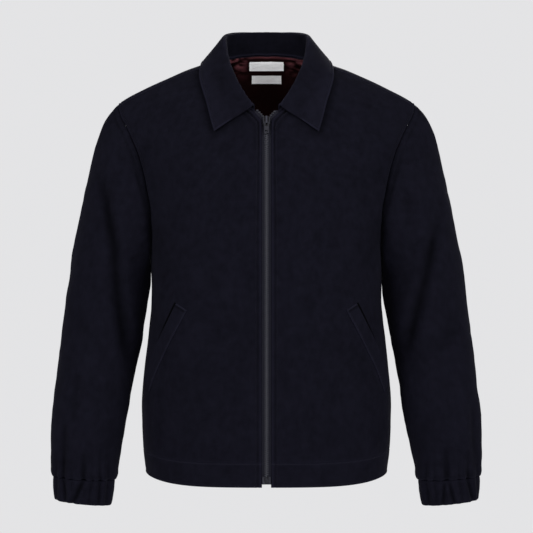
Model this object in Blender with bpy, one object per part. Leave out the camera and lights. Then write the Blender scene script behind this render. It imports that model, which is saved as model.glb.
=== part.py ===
"""A zip-front blouson jacket, filled out as if worn, with nobody in it.

The front faces -Y, +X is the wearer's left and +Z is up.  The origin is the middle of the
neck, level with the place where the collar lies on the shoulders.  Every size is in
millimetres and becomes metres only where a mesh is made.
"""
import math

import bmesh
import bpy
from mathutils import Matrix, Vector

MM = 0.001

# ---------------------------------------------------------------- driving dimensions
WALL = 2.0                  # body cloth with its lining
COLLAR_WALL = 2.2
LINING_WALL = 1.0
LABEL_WALL = 1.0
WELT_WALL = 1.6
TAPE_WALL = 1.0
SEAM_GAP = 0.3              # between the cut pieces
MITRE_LIMIT = 1.6           # how much longer than the wall a folded seam's corner may be

RIDGE_Y = 8.0               # the shoulder ridge and the side seams lie in this plane
SQUARENESS = 2.6            # of the torso's level sections: 2 is an ellipse

NECK_POINT = (76.0, -2.65)  # x and slope of the neck end of the shoulder seam
SHOULDER_TIP = (233.0, -2.0)
UNDERARM_Z = -290.0
FRONT_EDGE_X = 6.8          # half of the gap that the zip fills
EDGE_TOP_Z = -93.0          # above this the front edges turn away to the collar's ends
EDGE_STRAIGHT_Z = -112.0
BAND_SEAM_FRONT_Z = -611.0
BAND_SEAM_SIDE_Z = -598.0
BAND_DEPTH = 35.0
HEM_SAG = 3.5               # the hem stays low across the front and rises near the sides

FRONT_COLUMNS = 9
NECK_COLUMNS = 4            # from the middle of the back neck to the neck point
NECK_ROWS = 6               # rows of the front that end on the neckline
ARM_ROWS = 10
SIDE_ROWS = 9
ROWS = ARM_ROWS + SIDE_ROWS
SLEEVE_RINGS = 17
SLEEVE_CROWDING = 1.12      # above 1 the rings stand closer together near the armhole
BACK_SAG = 10.0             # how far the back's middle hangs below the underarm's level
NECK_FADE = 0.7             # share of the armhole rows by which the neck's shape is gone
SLEEVE_COLUMNS = 2 * ARM_ROWS

CUFF_WAVES = 20
CUFF_STEPS_PER_WAVE = 4
CUFF_WAVE_DEPTH = 1.1
CUFF_RINGS = 3


class Curve:
    """A smooth curve through the rows of a short table, read by its first column."""

    def __init__(self, columns, *rows):
        self.columns = columns.split()
        self.keys = [row[0] for row in rows]
        self.series = list(zip(*rows))

    def tangent(self, values, i):
        """Slope at row i, held level at a peak so that the curve never overshoots."""
        keys, last = self.keys, len(self.keys) - 1
        before = (values[i] - values[i - 1]) / (keys[i] - keys[i - 1]) if i else None
        after = (values[i + 1] - values[i]) / (keys[i + 1] - keys[i]) if i < last else None
        if before is None or after is None:
            return after if before is None else before
        if before * after <= 0:
            return 0.0
        wide, narrow = keys[i + 1] - keys[i], keys[i] - keys[i - 1]
        first, second = 2 * wide + narrow, wide + 2 * narrow
        return (first + second) / (first / before + second / after)

    def at(self, key, column=None):
        values = self.series[self.columns.index(column) if column else 1]
        keys = self.keys
        if key <= keys[0]:
            return values[0]
        if key >= keys[-1]:
            return values[-1]
        i = max(k for k in range(len(keys)) if keys[k] <= key)
        span = keys[i + 1] - keys[i]
        t = (key - keys[i]) / span
        start, end = self.tangent(values, i) * span, self.tangent(values, i + 1) * span
        return (values[i] * (1 + 2 * t) * (1 - t) ** 2 + start * t * (1 - t) ** 2
                + values[i + 1] * t * t * (3 - 2 * t) - end * t * t * (1 - t))


# ---------------------------------------------------------------- the torso's form
# A point is named by x and by its slope: the signed root of its drop below the shoulder
# ridge, negative in front and positive behind.
HALF_WIDTH = Curve(
    "z half_width",
    (-646, 188), (-634, 189), (-600, 193), (-560, 195), (-520, 194.7), (-430, 186),
    (-350, 180), (UNDERARM_Z, 182), (-270, 184), (-240, 189), (-200, 200), (-155, 219),
    (-140, 225), (-110, 236), (-80, 242), (-64, 245))
RIDGE = Curve(
    "x z",
    (-42, 43), (0, 51), (42, 43), (60, 30), (75, 16.5), (90, 6), (108, -2.5), (125, -8),
    (161, -22.3), (193, -37.9), (222, -53.6), (234, -62))
NAPE = Curve(               # the ridge without the neck's rise, from which the back falls
    "x z", (0, 9.5), (50, 7), (85, 2.5), (108, -2.5))
NAPE_SLOPES = (5.0, 12.0)   # the back leaves the one for the other between these slopes
DEPTH = Curve(
    "slope front back",
    (0, 0, 0), (3.87, 32, 32), (6.32, 58, 60), (8.94, 84, 84), (10.95, 102, 100),
    (13.42, 124, 115), (16.12, 140, 119), (18.7, 144, 116), (22.4, 140, 108.5),
    (25.5, 136, 108), (27, 135, 108))
FRONT_NECKLINE = Curve(
    "share x slope",
    (0, *NECK_POINT), (0.2, 72, -5.1), (0.52, 60, -8.19), (0.81, 40, -10.38), (1, 19, -11.34))
BACK_NECKLINE = Curve(
    "share x slope",
    (0, 0, 5.4), (0.4, 42, 4.8), (0.62, 60, 3.8), (0.8, 70, 2.3), (0.9, 74, 0),
    (1, *NECK_POINT))
ARMHOLE = Curve(
    "slope front back",
    (0, 233.5, 233.5), (2, SHOULDER_TIP[0], 232.6), (4.6, 229, 228), (7.8, 213, 218.5),
    (10.6, 196, 206.6), (12.8, 184.5, 196.5), (14.4, 178.2, 187.6), (15.5, 178.2, 183),
    (16.05, 182, 182))

# ---------------------------------------------------------------- sleeve, cuff and collar
# Outer and inner are the sleeve's two edges seen from the front.
SLEEVE = Curve(
    "share outer_x outer_z inner_x inner_z centre_y depth",
    (0.00, 233.5, -62, 182, -290, 8, 112),
    (0.06, 251.6, -84.5, 180, -301, 8, 124),
    (0.13, 266.4, -116, 179, -313, 8, 134),
    (0.20, 275.4, -152, 179, -325, 8, 139),
    (0.30, 287.3, -207, 180.5, -341, 8, 141),
    (0.40, 297.3, -256, 182, -357, 7, 139),
    (0.50, 306.5, -304, 185, -374, 5, 136),
    (0.60, 314.2, -366, 189.5, -397, 1, 128),
    (0.70, 322.0, -429, 198.5, -442.5, -6, 119),
    (0.80, 329, -499, 209.3, -504, -18, 110),
    (0.90, 333.3, -562, 221.4, -574, -32, 100),
    (0.96, 333.2, -606, 228.8, -616, -40, 91),
    (1.00, 330.2, -637.6, 233.0, -643.4, -45, 80))
CUFF = Curve(
    "share outer_x outer_z inner_x inner_z centre_y depth",
    (0, 329.3, -638.0, 234.4, -643.7, -45, 77),
    (1, 327.0, -673.6, 239.8, -682.6, -49, 72))
CAP_END = 0.36              # by this share of its length the sleeve has left the armhole's shape
ARMPIT_CLEARANCE = 0.7

# The top of the collar's fold and the leaf's outer edge, by share of the half neckline.
COLLAR_FOLD = Curve(
    "share x y z",
    (0, 0, 61, 58.3), (0.2, 40, 56, 57.4), (0.43, 67, 16, 47), (0.541, 63.5, -17, 20),
    (0.725, 51.8, -55, -16), (0.89, 36, -84, -48), (1, 21.5, -100.5, -70.5))
COLLAR_EDGE = Curve(
    "share x y z",
    (0, 0, 79, 8), (0.17, 42, 75, 7), (0.3, 82, 48, 2), (0.43, 106.5, 12, 3.0),
    (0.541, 104.3, -30, -16.7), (0.725, 91.4, -73, -66.2), (0.89, 85, -86, -91),
    (1, 79.5, -95, -109.7))
FOLD_RADIUS = 2.0
COLLAR_CLEARANCE = 2.0
STAND_STEPS = 3
FOLD_STEPS = 3
LEAF_STEPS = 4

# Soft troughs of the worn cloth, from one place on a piece to another.
SLEEVE_CREASES = {
    "left": [
        # column share, row share, column share, row share, depth, width
        (0.275, 0.50, 0.360, 0.66, 5.0, 26),
        (0.360, 0.66, 0.430, 0.78, 4.0, 24),
        (0.640, 0.55, 0.740, 0.62, 3.5, 22),
    ],
    "right": [
        (0.250, 0.34, 0.320, 0.52, 4.5, 26),
        (0.320, 0.52, 0.375, 0.74, 4.0, 24),
        (0.620, 0.58, 0.730, 0.52, 3.5, 22),
    ],
}

# ---------------------------------------------------------------- pockets, zip and labels
# Corners of the welt on the wearer's left front, top to bottom.
WELT = Curve(
    "share front_x front_z side_x side_z",
    (0, 120.2, -380.9, 136.4, -370.6), (0.7, 165.5, -469.4, 177.0, -454.0),
    (1, 180.0, -507.0, 188.4, -492.5))
WELT_STEPS = 8
WELT_LIFT = 0.7

ZIP_EDGE = Curve(           # inner edge of one chain: the two part above the slider
    "z x",
    (-112, 0.15), (-97, 0.15), (-93, 1.2), (-88, 3.5), (-84, 6.5), (-80, 10), (-76, 14))
CHAIN_WIDTH = 3.05
CHAIN_DEPTH = (0.3, 3.2)    # of its outer and inner face below the cloth's outer face
TAPE_WIDTH = 10.5
TAPE_LIFT = WALL + 0.8
TAPE_GAP = 0.3
ZIP_END_Z = -630.5
TAPE_END_Z = -643.0
ZIP_BOX_Z = -636.0
ZIP_TOP_LEVELS = (-76, -80, -84, -88)

LINING_ROWS = 9
LINING_MARGIN = 3           # columns of the back left bare at each side
LINING_LIFT = 0.4
LABELS = {                  # rows and columns of the lining's grid
    "label_upper": ((0.25, 0.72), (9.07, 10, 10.93)),
    "label_lower": ((0.91, 1.0, 1.3), (9.21, 10, 10.79)),
}
LABEL_LIFT = 0.4

# The slider, in its own frame: across, down the slope, and out from the cloth.
SLIDER_Z = -95.0
PLATE_HALF = 5.2
PLATE_LENGTH = 16.0
PIVOT_DOWN = 2.0
PIVOT_OUT = 2.5
PULL_BAR = 1.1
PULL_HALF = 3.4
PULL_SLOT_HALF = 1.5
PULL_END = 20.8


def lerp(a, b, t):
    return a + (b - a) * t


def smooth(t):
    t = min(max(t, 0.0), 1.0)
    return t * t * (3 - 2 * t)


def roundness(share):
    """Depth of a level section at a share of its half width, from 1 in the middle to 0."""
    if share >= 1 - 1e-9:
        return 0.0
    return (1 - share ** SQUARENESS) ** (1 / SQUARENESS)


def level(x, slope):
    return RIDGE.at(abs(x)) - slope * slope


def slope_at(x, z):
    return math.sqrt(max(RIDGE.at(abs(x)) - z, 0.0))


def depth_at(x, z, side):
    """How far the torso's middle reaches in front of or behind the ridge's plane."""
    slope = slope_at(x, z)
    if side == "back" and abs(x) < NAPE.keys[-1]:
        even = math.sqrt(max(NAPE.at(abs(x)) - z, 0.0))
        start, end = NAPE_SLOPES
        slope = lerp(slope, even, smooth((slope - start) / (end - start)))
    return DEPTH.at(slope, side)


def torso(x, slope):
    """The point of the torso's outer form at x and this slope."""
    z = level(x, slope)
    depth = depth_at(x, z, "front" if slope < 0 else "back")
    fullness = roundness(abs(x) / HALF_WIDTH.at(z))
    return Vector((x, RIDGE_Y + math.copysign(depth * fullness, slope), z))


def clearance(point):
    """Rough distance of a point from the torso's outer form, positive outside."""
    drop = RIDGE.at(abs(point.x)) - point.z
    aside = abs(point.y - RIDGE_Y)
    if drop <= 0:
        return math.hypot(aside, drop)
    side = "front" if point.y < RIDGE_Y else "back"
    width = HALF_WIDTH.at(point.z)
    if abs(point.x) > width:
        return math.hypot(aside, abs(point.x) - width)
    return aside - depth_at(point.x, point.z, side) * roundness(abs(point.x) / width)


def outward(point, step=0.05):
    """Direction away from the torso at a point near its outer form, with its steepness."""
    axes = (Vector((step, 0, 0)), Vector((0, step, 0)), Vector((0, 0, step)))
    rise = Vector([clearance(point + axis) - clearance(point - axis) for axis in axes])
    return rise / (2 * step)


def pushed_clear(point, goal, longest=3.0):
    """The point moved away from the torso until it is this far clear of it."""
    point = point.copy()
    for _ in range(8):
        short = goal - clearance(point)
        if short <= 0:
            break
        rise = outward(point)
        move = rise * (short / max(rise.length_squared, 0.05))
        if move.length > longest:
            move.length = longest
        point += move
    return point


def on_front(x, z, lift):
    """A point of the front at x and z, moved out by lift or in where it is negative."""
    point = torso(x, -slope_at(x, z))
    return point + outward(point).normalized() * lift


def even_steps(path, start, end, steps):
    """Values from start to end that part the path into equal lengths."""
    fine = [lerp(start, end, i / 240) for i in range(241)]
    marks = [path(value) for value in fine]
    reach = [0.0]
    for a, b in zip(marks, marks[1:]):
        reach.append(reach[-1] + (b - a).length)
    values = []
    at = 0
    for step in range(steps):
        goal = reach[-1] * step / steps
        while reach[at + 1] < goal:
            at += 1
        values.append(lerp(fine[at], fine[at + 1], (goal - reach[at]) / (reach[at + 1] - reach[at])))
    return values + [end]


# ---------------------------------------------------------------- sheets of cloth
class Sheet:
    """Rows of outer points of one cut piece, with the edges that are sewn to others."""

    def __init__(self, name, rows, wall=WALL, tube=False, seams=(), gap=SEAM_GAP):
        self.name = name
        self.rows = rows
        self.wall = wall
        self.tube = tube
        self.gap = gap
        self.seams = seams          # (edge, first index, last index)
        self.height, self.width = len(rows), len(rows[0])
        self.level_rings = {}       # ring number to the axis that its wall stays square to
        self.find_normals()

    def find_normals(self):
        """Normals weighted by the angle of each face at the point, not unit vectors."""
        self.normals = [[Vector() for _ in row] for row in self.rows]
        for r in range(self.height - 1):
            for c in range(self.width - (0 if self.tube else 1)):
                d = (c + 1) % self.width
                ring = [(r, c), (r + 1, c), (r + 1, d), (r, d)]
                for i in range(4):
                    here, after, before = ring[i], ring[(i + 1) % 4], ring[i - 1]
                    ahead = self.at(*after) - self.at(*here)
                    back = self.at(*before) - self.at(*here)
                    if min(ahead.length, back.length) > 1e-6:
                        turn = ahead.cross(back)
                        if turn.length > 1e-9:
                            self.normals[here[0]][here[1]] += turn.normalized() * ahead.angle(back)

    def at(self, r, c):
        return self.rows[r][c % self.width if self.tube else c]

    def edge(self, seam):
        """Places along a seam, each with the place next to it inside the piece."""
        side, first, last = seam
        for i in range(first, last + 1):
            yield {"top": ((0, i), (1, i)), "bottom": ((self.height - 1, i), (self.height - 2, i)),
                   "left": ((i, 0), (i, 1)),
                   "right": ((i, self.width - 1), (i, self.width - 2))}[side]

    def inward(self):
        """At each sewn place, the directions square to its seams into the piece."""
        found = {}
        for seam in self.seams:
            places = list(self.edge(seam))
            closed = self.tube and seam[0] in ("top", "bottom")
            for i, (place, inside) in enumerate(places):
                before = places[i - 1][0] if i or closed else place
                after = places[(i + 1) % len(places)][0] if i + 1 < len(places) or closed else place
                along = (self.at(*after) - self.at(*before)).normalized()
                into = (self.at(*inside) - self.at(*place)).normalized()
                into -= along * into.dot(along)
                found.setdefault(place, []).append(into.normalized())
        return found


def key_of(point):
    return tuple(round(value, 2) for value in point)


def finish_sheets(sheets):
    """Part the sheets by the seam gap and give each its inner points."""
    meeting = {}
    for sheet in sheets:
        for (r, c), directions in sheet.inward().items():
            total = meeting.setdefault(key_of(sheet.at(r, c)), Vector())
            total += sheet.normals[r][c] / math.pi
            for into in directions:
                total += into * 0.5
    for sheet in sheets:
        sewn = sheet.inward()
        sheet.outer, sheet.inner = [], []
        for r in range(sheet.height):
            outer_row, inner_row = [], []
            for c in range(sheet.width):
                point, own = sheet.at(r, c), sheet.normals[r][c].normalized()
                normal, mitre = own, 1.0
                if (r, c) in sewn:
                    normal = meeting[key_of(point)]
                    if abs(point.y - RIDGE_Y) < 0.01 and point.z < UNDERARM_Z + 1:
                        normal.y = 0.0      # the side seams stay in one plane
                    normal = normal.normalized()
                    mitre = min(1 / max(own.dot(normal), 0.1), MITRE_LIMIT)
                    for into in sewn[(r, c)]:
                        apart = into - own
                        apart -= normal * apart.dot(normal)
                        point = point + apart.normalized() * (sheet.gap / 2)
                if r in sheet.level_rings:
                    axis = sheet.level_rings[r]
                    normal = (normal - axis * normal.dot(axis)).normalized()
                outer_row.append(point)
                inner_row.append(point - normal * (sheet.wall * mitre))
            sheet.outer.append(outer_row)
            sheet.inner.append(inner_row)


def mirrored(rows):
    """The same rows for the other side, turned so that they still face out."""
    return [[Vector((-p.x, p.y, p.z)) for p in reversed(row)] for row in rows]


def creased(rows, creases, tube=True):
    """The rows with soft troughs pressed in, each along a line between two places."""
    sheet = Sheet("", rows, tube=tube)
    height, width = len(rows), len(rows[0])
    result = [[point.copy() for point in row] for row in rows]
    for first_c, first_r, last_c, last_r, depth, breadth in creases:
        start = surface_point(sheet, first_c * width, first_r * (height - 1))
        end = surface_point(sheet, last_c * width, last_r * (height - 1))
        line = end - start
        for r in range(1, height - 1):
            for c in range(width):
                point = rows[r][c]
                t = min(max((point - start).dot(line) / line.length_squared, 0), 1)
                away = (point - start - line * t).length
                sink = depth * math.exp(-(away / breadth) ** 2)
                result[r][c] -= sheet.normals[r][c].normalized() * sink
    return result


def surface_point(sheet, column, row):
    """A point between the grid's own points."""
    r, c = min(int(row), sheet.height - 2), int(column)
    u, v = column - c, row - r
    upper = sheet.at(r, c).lerp(sheet.at(r, c + 1), u)
    return upper.lerp(sheet.at(r + 1, c).lerp(sheet.at(r + 1, c + 1), u), v)


# ---------------------------------------------------------------- the body's panels
def arm_edge(side):
    """Places down one armhole, from the shoulder tip to the underarm."""
    end = slope_at(HALF_WIDTH.at(UNDERARM_Z), UNDERARM_Z)
    sign = -1 if side == "front" else 1

    def path(slope):
        return torso(*place(slope))

    def place(slope):
        column = side if slope * sign > 0 else "front"
        return ARMHOLE.at(min(abs(slope), ARMHOLE.keys[-1]), column), slope

    if side == "front":
        slopes = even_steps(path, SHOULDER_TIP[1], -end, ARM_ROWS)
    else:                               # the back's second row runs along the ridge
        slopes = [SHOULDER_TIP[1]] + even_steps(path, 0.0, end, ARM_ROWS - 1)
    places = [place(slope) for slope in slopes]
    places[0] = SHOULDER_TIP
    places[-1] = (HALF_WIDTH.at(UNDERARM_Z), sign * end)
    return places


def side_edge(side):
    """Places down the side seam, below the underarm to the band."""
    sign = -1 if side == "front" else 1
    for i in range(1, SIDE_ROWS + 1):
        z = lerp(UNDERARM_Z, BAND_SEAM_SIDE_Z, i / SIDE_ROWS)
        x = HALF_WIDTH.at(z)
        yield x, sign * slope_at(x, z)


def share_of_width(x, slope):
    return math.asin(min(abs(x) / HALF_WIDTH.at(level(x, slope)), 1.0))


def neckline(curve, steps):
    path = lambda share: torso(curve.at(share, "x"), curve.at(share, "slope"))
    return [(curve.at(s, "x"), curve.at(s, "slope")) for s in even_steps(path, 0, 1, steps)]


def panel_row(left, right, turns, blend, shift, sag=1.0):
    """Places along one row between two edges, level where blend is 1.

    The more the sag, the closer to its right end a row rises from its left end's level.
    turns are the columns' angles round the section as shares of the row's own, and
    shift is how far each column's x and slope differ from that near the neck.
    """
    first, last = share_of_width(*left), share_of_width(*right)
    if left[0] <= 0:
        first = 0.0
    start, end = math.sin(first), math.sin(last)
    row = []
    for turn, (x_shift, slope_shift) in zip(turns, shift):
        s = math.sin(lerp(first, last, turn))
        f = (s - start) / (end - start)
        z = lerp(level(*left), level(*right), f ** sag)
        x = s * HALF_WIDTH.at(z) + x_shift
        along = lerp(left[1], right[1], f) + slope_shift
        flat = math.copysign(slope_at(x, z), right[1])
        row.append((x, lerp(along, flat, blend)))
    row[0], row[-1] = left, right
    return row


def shoulder_row():
    """Places along the shoulder seam, from the neck point to the tip."""
    turns = [i / FRONT_COLUMNS for i in range(FRONT_COLUMNS + 1)]
    return panel_row(NECK_POINT, SHOULDER_TIP, turns, 0, [(0, 0)] * len(turns))


def sag_of(row):
    return lerp(1.0, HEM_SAG, max(row - ARM_ROWS, 0) / SIDE_ROWS)


def front_edge_levels():
    """Levels of the rows that end on the straight front edge, below the neckline."""
    steps = ROWS - NECK_ROWS - 2
    return [EDGE_TOP_Z] + [lerp(EDGE_STRAIGHT_Z, BAND_SEAM_FRONT_Z, i / steps)
                           for i in range(steps + 1)]


def front_places():
    left = neckline(FRONT_NECKLINE, NECK_ROWS)
    left += [(FRONT_EDGE_X, -slope_at(FRONT_EDGE_X, z)) for z in front_edge_levels()]
    right = arm_edge("front") + list(side_edge("front"))
    turns = [i / FRONT_COLUMNS for i in range(FRONT_COLUMNS + 1)]
    rows = [shoulder_row()]
    for i in range(1, ROWS + 1):
        rows.append(panel_row(left[i], right[i], turns, smooth(i / ARM_ROWS),
                              [(0, 0)] * len(turns), sag_of(i)))
    return rows


def back_places():
    """The half of the back from its middle to the wearer's left."""
    top = neckline(BACK_NECKLINE, NECK_COLUMNS)[:-1] + shoulder_row()
    right = arm_edge("back") + list(side_edge("back"))
    widest = share_of_width(*SHOULDER_TIP)
    turns = [share_of_width(*place) / widest for place in top]
    turns[0], turns[-1] = 0.0, 1.0
    middle_top, middle_low = level(*top[0]), UNDERARM_Z - BACK_SAG
    plain = panel_row(top[0], right[0], turns, 0, [(0, 0)] * len(turns))
    gaps = [(a[0] - b[0], a[1] - b[1]) for a, b in zip(top, plain)]
    rows = [top]
    for i in range(1, ROWS + 1):
        if i <= ARM_ROWS:
            z = lerp(middle_top, middle_low, i / ARM_ROWS)
        else:
            z = lerp(middle_low, BAND_SEAM_FRONT_Z, (i - ARM_ROWS) / SIDE_ROWS)
        fade = 1 - smooth(i / (NECK_FADE * ARM_ROWS))
        shift = [(x * fade, slope * fade) for x, slope in gaps]
        rows.append(panel_row((0.0, slope_at(0, z)), right[i], turns,
                              smooth(i / ARM_ROWS), shift, sag_of(i)))
    return rows


def body_sheets():
    front = [[torso(*place) for place in row] for row in front_places()]
    half = [[torso(*place) for place in row] for row in back_places()]
    other = mirrored(half)
    back = [list(reversed(a)) + list(reversed(b))[1:] for a, b in zip(half, other)]
    seams_left = (("top", 0, FRONT_COLUMNS), ("left", 0, NECK_ROWS), ("right", 0, ARM_ROWS),
                  ("right", ARM_ROWS, ROWS), ("bottom", 0, FRONT_COLUMNS))
    swap = {"left": "right", "right": "left"}
    seams_right = tuple((swap.get(side, side), a, b) for side, a, b in seams_left)
    wide = len(back[0]) - 1
    neck = FRONT_COLUMNS + 2 * NECK_COLUMNS
    seams_back = (("top", 0, FRONT_COLUMNS), ("top", FRONT_COLUMNS, neck), ("top", neck, wide),
                  ("left", 0, ARM_ROWS), ("left", ARM_ROWS, ROWS),
                  ("right", 0, ARM_ROWS), ("right", ARM_ROWS, ROWS), ("bottom", 0, wide))
    return (Sheet("front_left", front, seams=seams_left),
            Sheet("front_right", mirrored(front), seams=seams_right),
            Sheet("back", back, seams=seams_back))


def band_sheet(front_left, back, front_right):
    """One ring from zip to zip, hanging from the panels' lower edges."""
    top = front_left.rows[-1] + back.rows[-1][1:] + front_right.rows[-1][1:]
    rows = [top]
    for share in (0.5, 1.0):
        row = []
        for point in top:
            drop = BAND_DEPTH * share
            z = point.z - drop
            x = point.x / HALF_WIDTH.at(point.z) * HALF_WIDTH.at(z)
            if abs(point.x) <= FRONT_EDGE_X + 0.1:
                x = point.x
            edge = abs(point.x) >= HALF_WIDTH.at(point.z) - 1e-6
            depth = slope_at(x, z) * (-1 if point.y < RIDGE_Y else 1)
            lower = torso(x, depth)
            if edge:
                lower = Vector((math.copysign(HALF_WIDTH.at(z), point.x), RIDGE_Y, z))
            row.append(lower)
        rows.append(row)
    return Sheet("hem_band", rows, seams=(("top", 0, len(top) - 1),))


# ---------------------------------------------------------------- sleeves and cuffs
def tube_ring(curve, share, columns, swell=lambda turn: 0.0):
    """One oval ring of a tube, from its outer edge round behind to the inner edge."""
    read = lambda column: curve.at(share, column)
    outer = Vector((read("outer_x"), read("centre_y"), read("outer_z")))
    inner = Vector((read("inner_x"), read("centre_y"), read("inner_z")))
    middle, arm = (outer + inner) / 2, (outer - inner) / 2
    ring = []
    for i in range(columns):
        turn = 2 * math.pi * i / columns
        grow = 1 + swell(turn) / arm.length
        deep = read("depth") / 2 * math.sin(turn) * grow
        ring.append(middle + arm * (math.cos(turn) * grow) + Vector((0, deep, 0)))
    return ring


def sleeve_rows():
    """Rings of the wearer's left sleeve, from the armhole to the cuff."""
    front = [torso(*place) for place in arm_edge("front")]
    back = [torso(*place) for place in arm_edge("back")]
    armhole = back + front[-2:0:-1]
    first = tube_ring(SLEEVE, 0, SLEEVE_COLUMNS)
    gaps = [a - b for a, b in zip(armhole, first)]
    rows = [armhole]
    for r in range(1, SLEEVE_RINGS + 1):
        share = (r / SLEEVE_RINGS) ** SLEEVE_CROWDING
        fade = 1 - smooth(share / CAP_END)
        ring = [p + gap * fade for p, gap in zip(tube_ring(SLEEVE, share, SLEEVE_COLUMNS), gaps)]
        rows.append([beside_torso(p) for p in ring])
    return rows


def beside_torso(point):
    """The point kept just clear of the torso's side below the underarm."""
    if point.z > UNDERARM_Z + 4:
        return point
    depth = depth_at(HALF_WIDTH.at(point.z), point.z, "front" if point.y < RIDGE_Y else "back")
    aside = abs(point.y - RIDGE_Y) / depth
    if aside >= 1:
        return point
    least = HALF_WIDTH.at(point.z) * roundness(aside) + ARMPIT_CLEARANCE
    return Vector((max(point.x, least), point.y, point.z))


def ring_axis(curve, share):
    """Direction square to a ring: down the tube."""
    arm = Vector((curve.at(share, "outer_x") - curve.at(share, "inner_x"), 0,
                  curve.at(share, "outer_z") - curve.at(share, "inner_z"))).normalized()
    return Vector((arm.z, 0, -arm.x))


def sleeve_sheets():
    plain = sleeve_rows()
    axis = ring_axis(SLEEVE, 1)
    sheets = []
    for side in ("left", "right"):
        rows = creased(plain, SLEEVE_CREASES[side])
        if side == "right":
            rows = mirrored(rows)
            axis = Vector((-axis.x, axis.y, axis.z))
        sheet = Sheet("sleeve_" + side, rows, tube=True,
                      seams=(("top", 0, SLEEVE_COLUMNS - 1),))
        sheet.level_rings[len(rows) - 1] = axis
        sheets.append(sheet)
    return sheets


def cuff_sheets():
    columns = CUFF_WAVES * CUFF_STEPS_PER_WAVE
    rows = []
    for r in range(CUFF_RINGS):
        share = r / (CUFF_RINGS - 1)
        depth = CUFF_WAVE_DEPTH * (0.6 if r in (0, CUFF_RINGS - 1) else 1.0)
        rows.append(tube_ring(CUFF, share, columns,
                              lambda turn: depth * math.cos(CUFF_WAVES * turn)))
    axis = ring_axis(CUFF, 0)
    sheets = []
    for side in ("left", "right"):
        if side == "right":
            rows = mirrored(rows)
            axis = Vector((-axis.x, axis.y, axis.z))
        sheet = Sheet("cuff_" + side, rows, tube=True)
        sheet.level_rings[0] = axis
        sheets.append(sheet)
    return sheets


# ---------------------------------------------------------------- collar
def collar_sheet(front_left, back):
    """The collar by its hidden side: up the stand, over the fold and down the leaf."""
    half_back = back.rows[0][FRONT_COLUMNS:FRONT_COLUMNS + NECK_COLUMNS + 1]
    half = list(reversed(half_back)) + [front_left.rows[r][0] for r in range(1, NECK_ROWS + 1)]
    reach = [0.0]
    for a, b in zip(half, half[1:]):
        reach.append(reach[-1] + (b - a).length)
    columns = [collar_column(point, at / reach[-1]) for point, at in zip(half, reach)]
    other = [[Vector((-p.x, p.y, p.z)) for p in column] for column in columns[:0:-1]]
    across = other + columns
    rows = [[column[r] for column in across] for r in range(len(columns[0]))]
    return Sheet("collar", rows, wall=COLLAR_WALL, seams=(("top", 0, len(across) - 1),),
                 gap=3 * SEAM_GAP)


def read_point(curve, share):
    """A point of the collar's curves, which run on evenly past the middle of the back."""
    point = Vector([curve.at(abs(share), axis) for axis in "xyz"])
    return Vector((-point.x, point.y, point.z)) if share < 0 else point


def collar_column(seam, share):
    top, edge = read_point(COLLAR_FOLD, share), read_point(COLLAR_EDGE, share)
    step = 0.02
    along = read_point(COLLAR_FOLD, min(share + step, 1)) - read_point(COLLAR_FOLD, share - step)
    up = (top - seam).normalized()
    out = up.cross(along).normalized()
    middle = top - up * FOLD_RADIUS
    foot = middle - out * FOLD_RADIUS
    column = [seam.lerp(foot, i / STAND_STEPS) for i in range(STAND_STEPS)]
    for i in range(FOLD_STEPS + 1):
        turn = math.pi * i / FOLD_STEPS
        column.append(middle + up * (FOLD_RADIUS * math.sin(turn))
                      - out * (FOLD_RADIUS * math.cos(turn)))
    start = column[-1]
    for i in range(1, LEAF_STEPS + 1):
        share_down = i / LEAF_STEPS
        column.append(pushed_clear(start.lerp(edge, share_down), COLLAR_CLEARANCE))
    return column


# ---------------------------------------------------------------- what lies on the panels
def welt_sheet(side):
    rows = []
    for i in range(WELT_STEPS + 1):
        read = lambda column: WELT.at(i / WELT_STEPS, column)
        ends = (read("front_x"), read("front_z")), (read("side_x"), read("side_z"))
        row = [on_front(lerp(ends[0][0], ends[1][0], t), lerp(ends[0][1], ends[1][1], t),
                        WELT_LIFT + WELT_WALL) for t in (0, 0.5, 1)]
        rows.append(row)
    if side == "right":
        rows = mirrored(rows)
    return Sheet("pocket_welt_" + side, rows, wall=WELT_WALL)


def inside_patch(name, sheet, rows, columns, lift, wall):
    """A layer on the inside of a finished sheet, made from its points moved in."""
    def inner_point(r, c, more):
        row, column = min(int(r), sheet.height - 2), min(int(c), sheet.width - 2)
        u, v = c - column, r - row

        def mixed(grid):
            upper = grid[row][column].lerp(grid[row][column + 1], u)
            lower = grid[row + 1][column].lerp(grid[row + 1][column + 1], u)
            return upper.lerp(lower, v)

        inner = mixed(sheet.inner)
        return inner + (inner - mixed(sheet.outer)).normalized() * more

    patch = Sheet(name, [[inner_point(r, c, lift) for c in columns] for r in rows], wall=wall)
    patch.outer = patch.rows
    patch.inner = [[inner_point(r, c, lift + wall) for c in columns] for r in rows]
    return patch


def zip_strip(name, side, inner_x, width, depth, last_z):
    """A strip along the front edge: depth is how far its two faces lie below the cloth's."""
    rows = []
    for z in [*ZIP_TOP_LEVELS, *front_edge_levels(), last_z]:
        x = inner_x(z)
        rows.append([on_front(x + w, z, -depth[0]) for w in (0, width)])
    if side == "right":
        rows = mirrored(rows)
    return Sheet(name + side, rows, wall=depth[1] - depth[0])


def zip_sheets():
    sheets = []
    tape_start = CHAIN_WIDTH + TAPE_GAP
    for side in ("left", "right"):
        sheets.append(zip_strip("zip_teeth_", side, ZIP_EDGE.at, CHAIN_WIDTH, CHAIN_DEPTH,
                                ZIP_END_Z))
        sheets.append(zip_strip("zip_tape_", side, lambda z: ZIP_EDGE.at(z) + tape_start,
                                TAPE_WIDTH, (TAPE_LIFT, TAPE_LIFT + TAPE_WALL), TAPE_END_Z))
    return sheets


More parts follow.
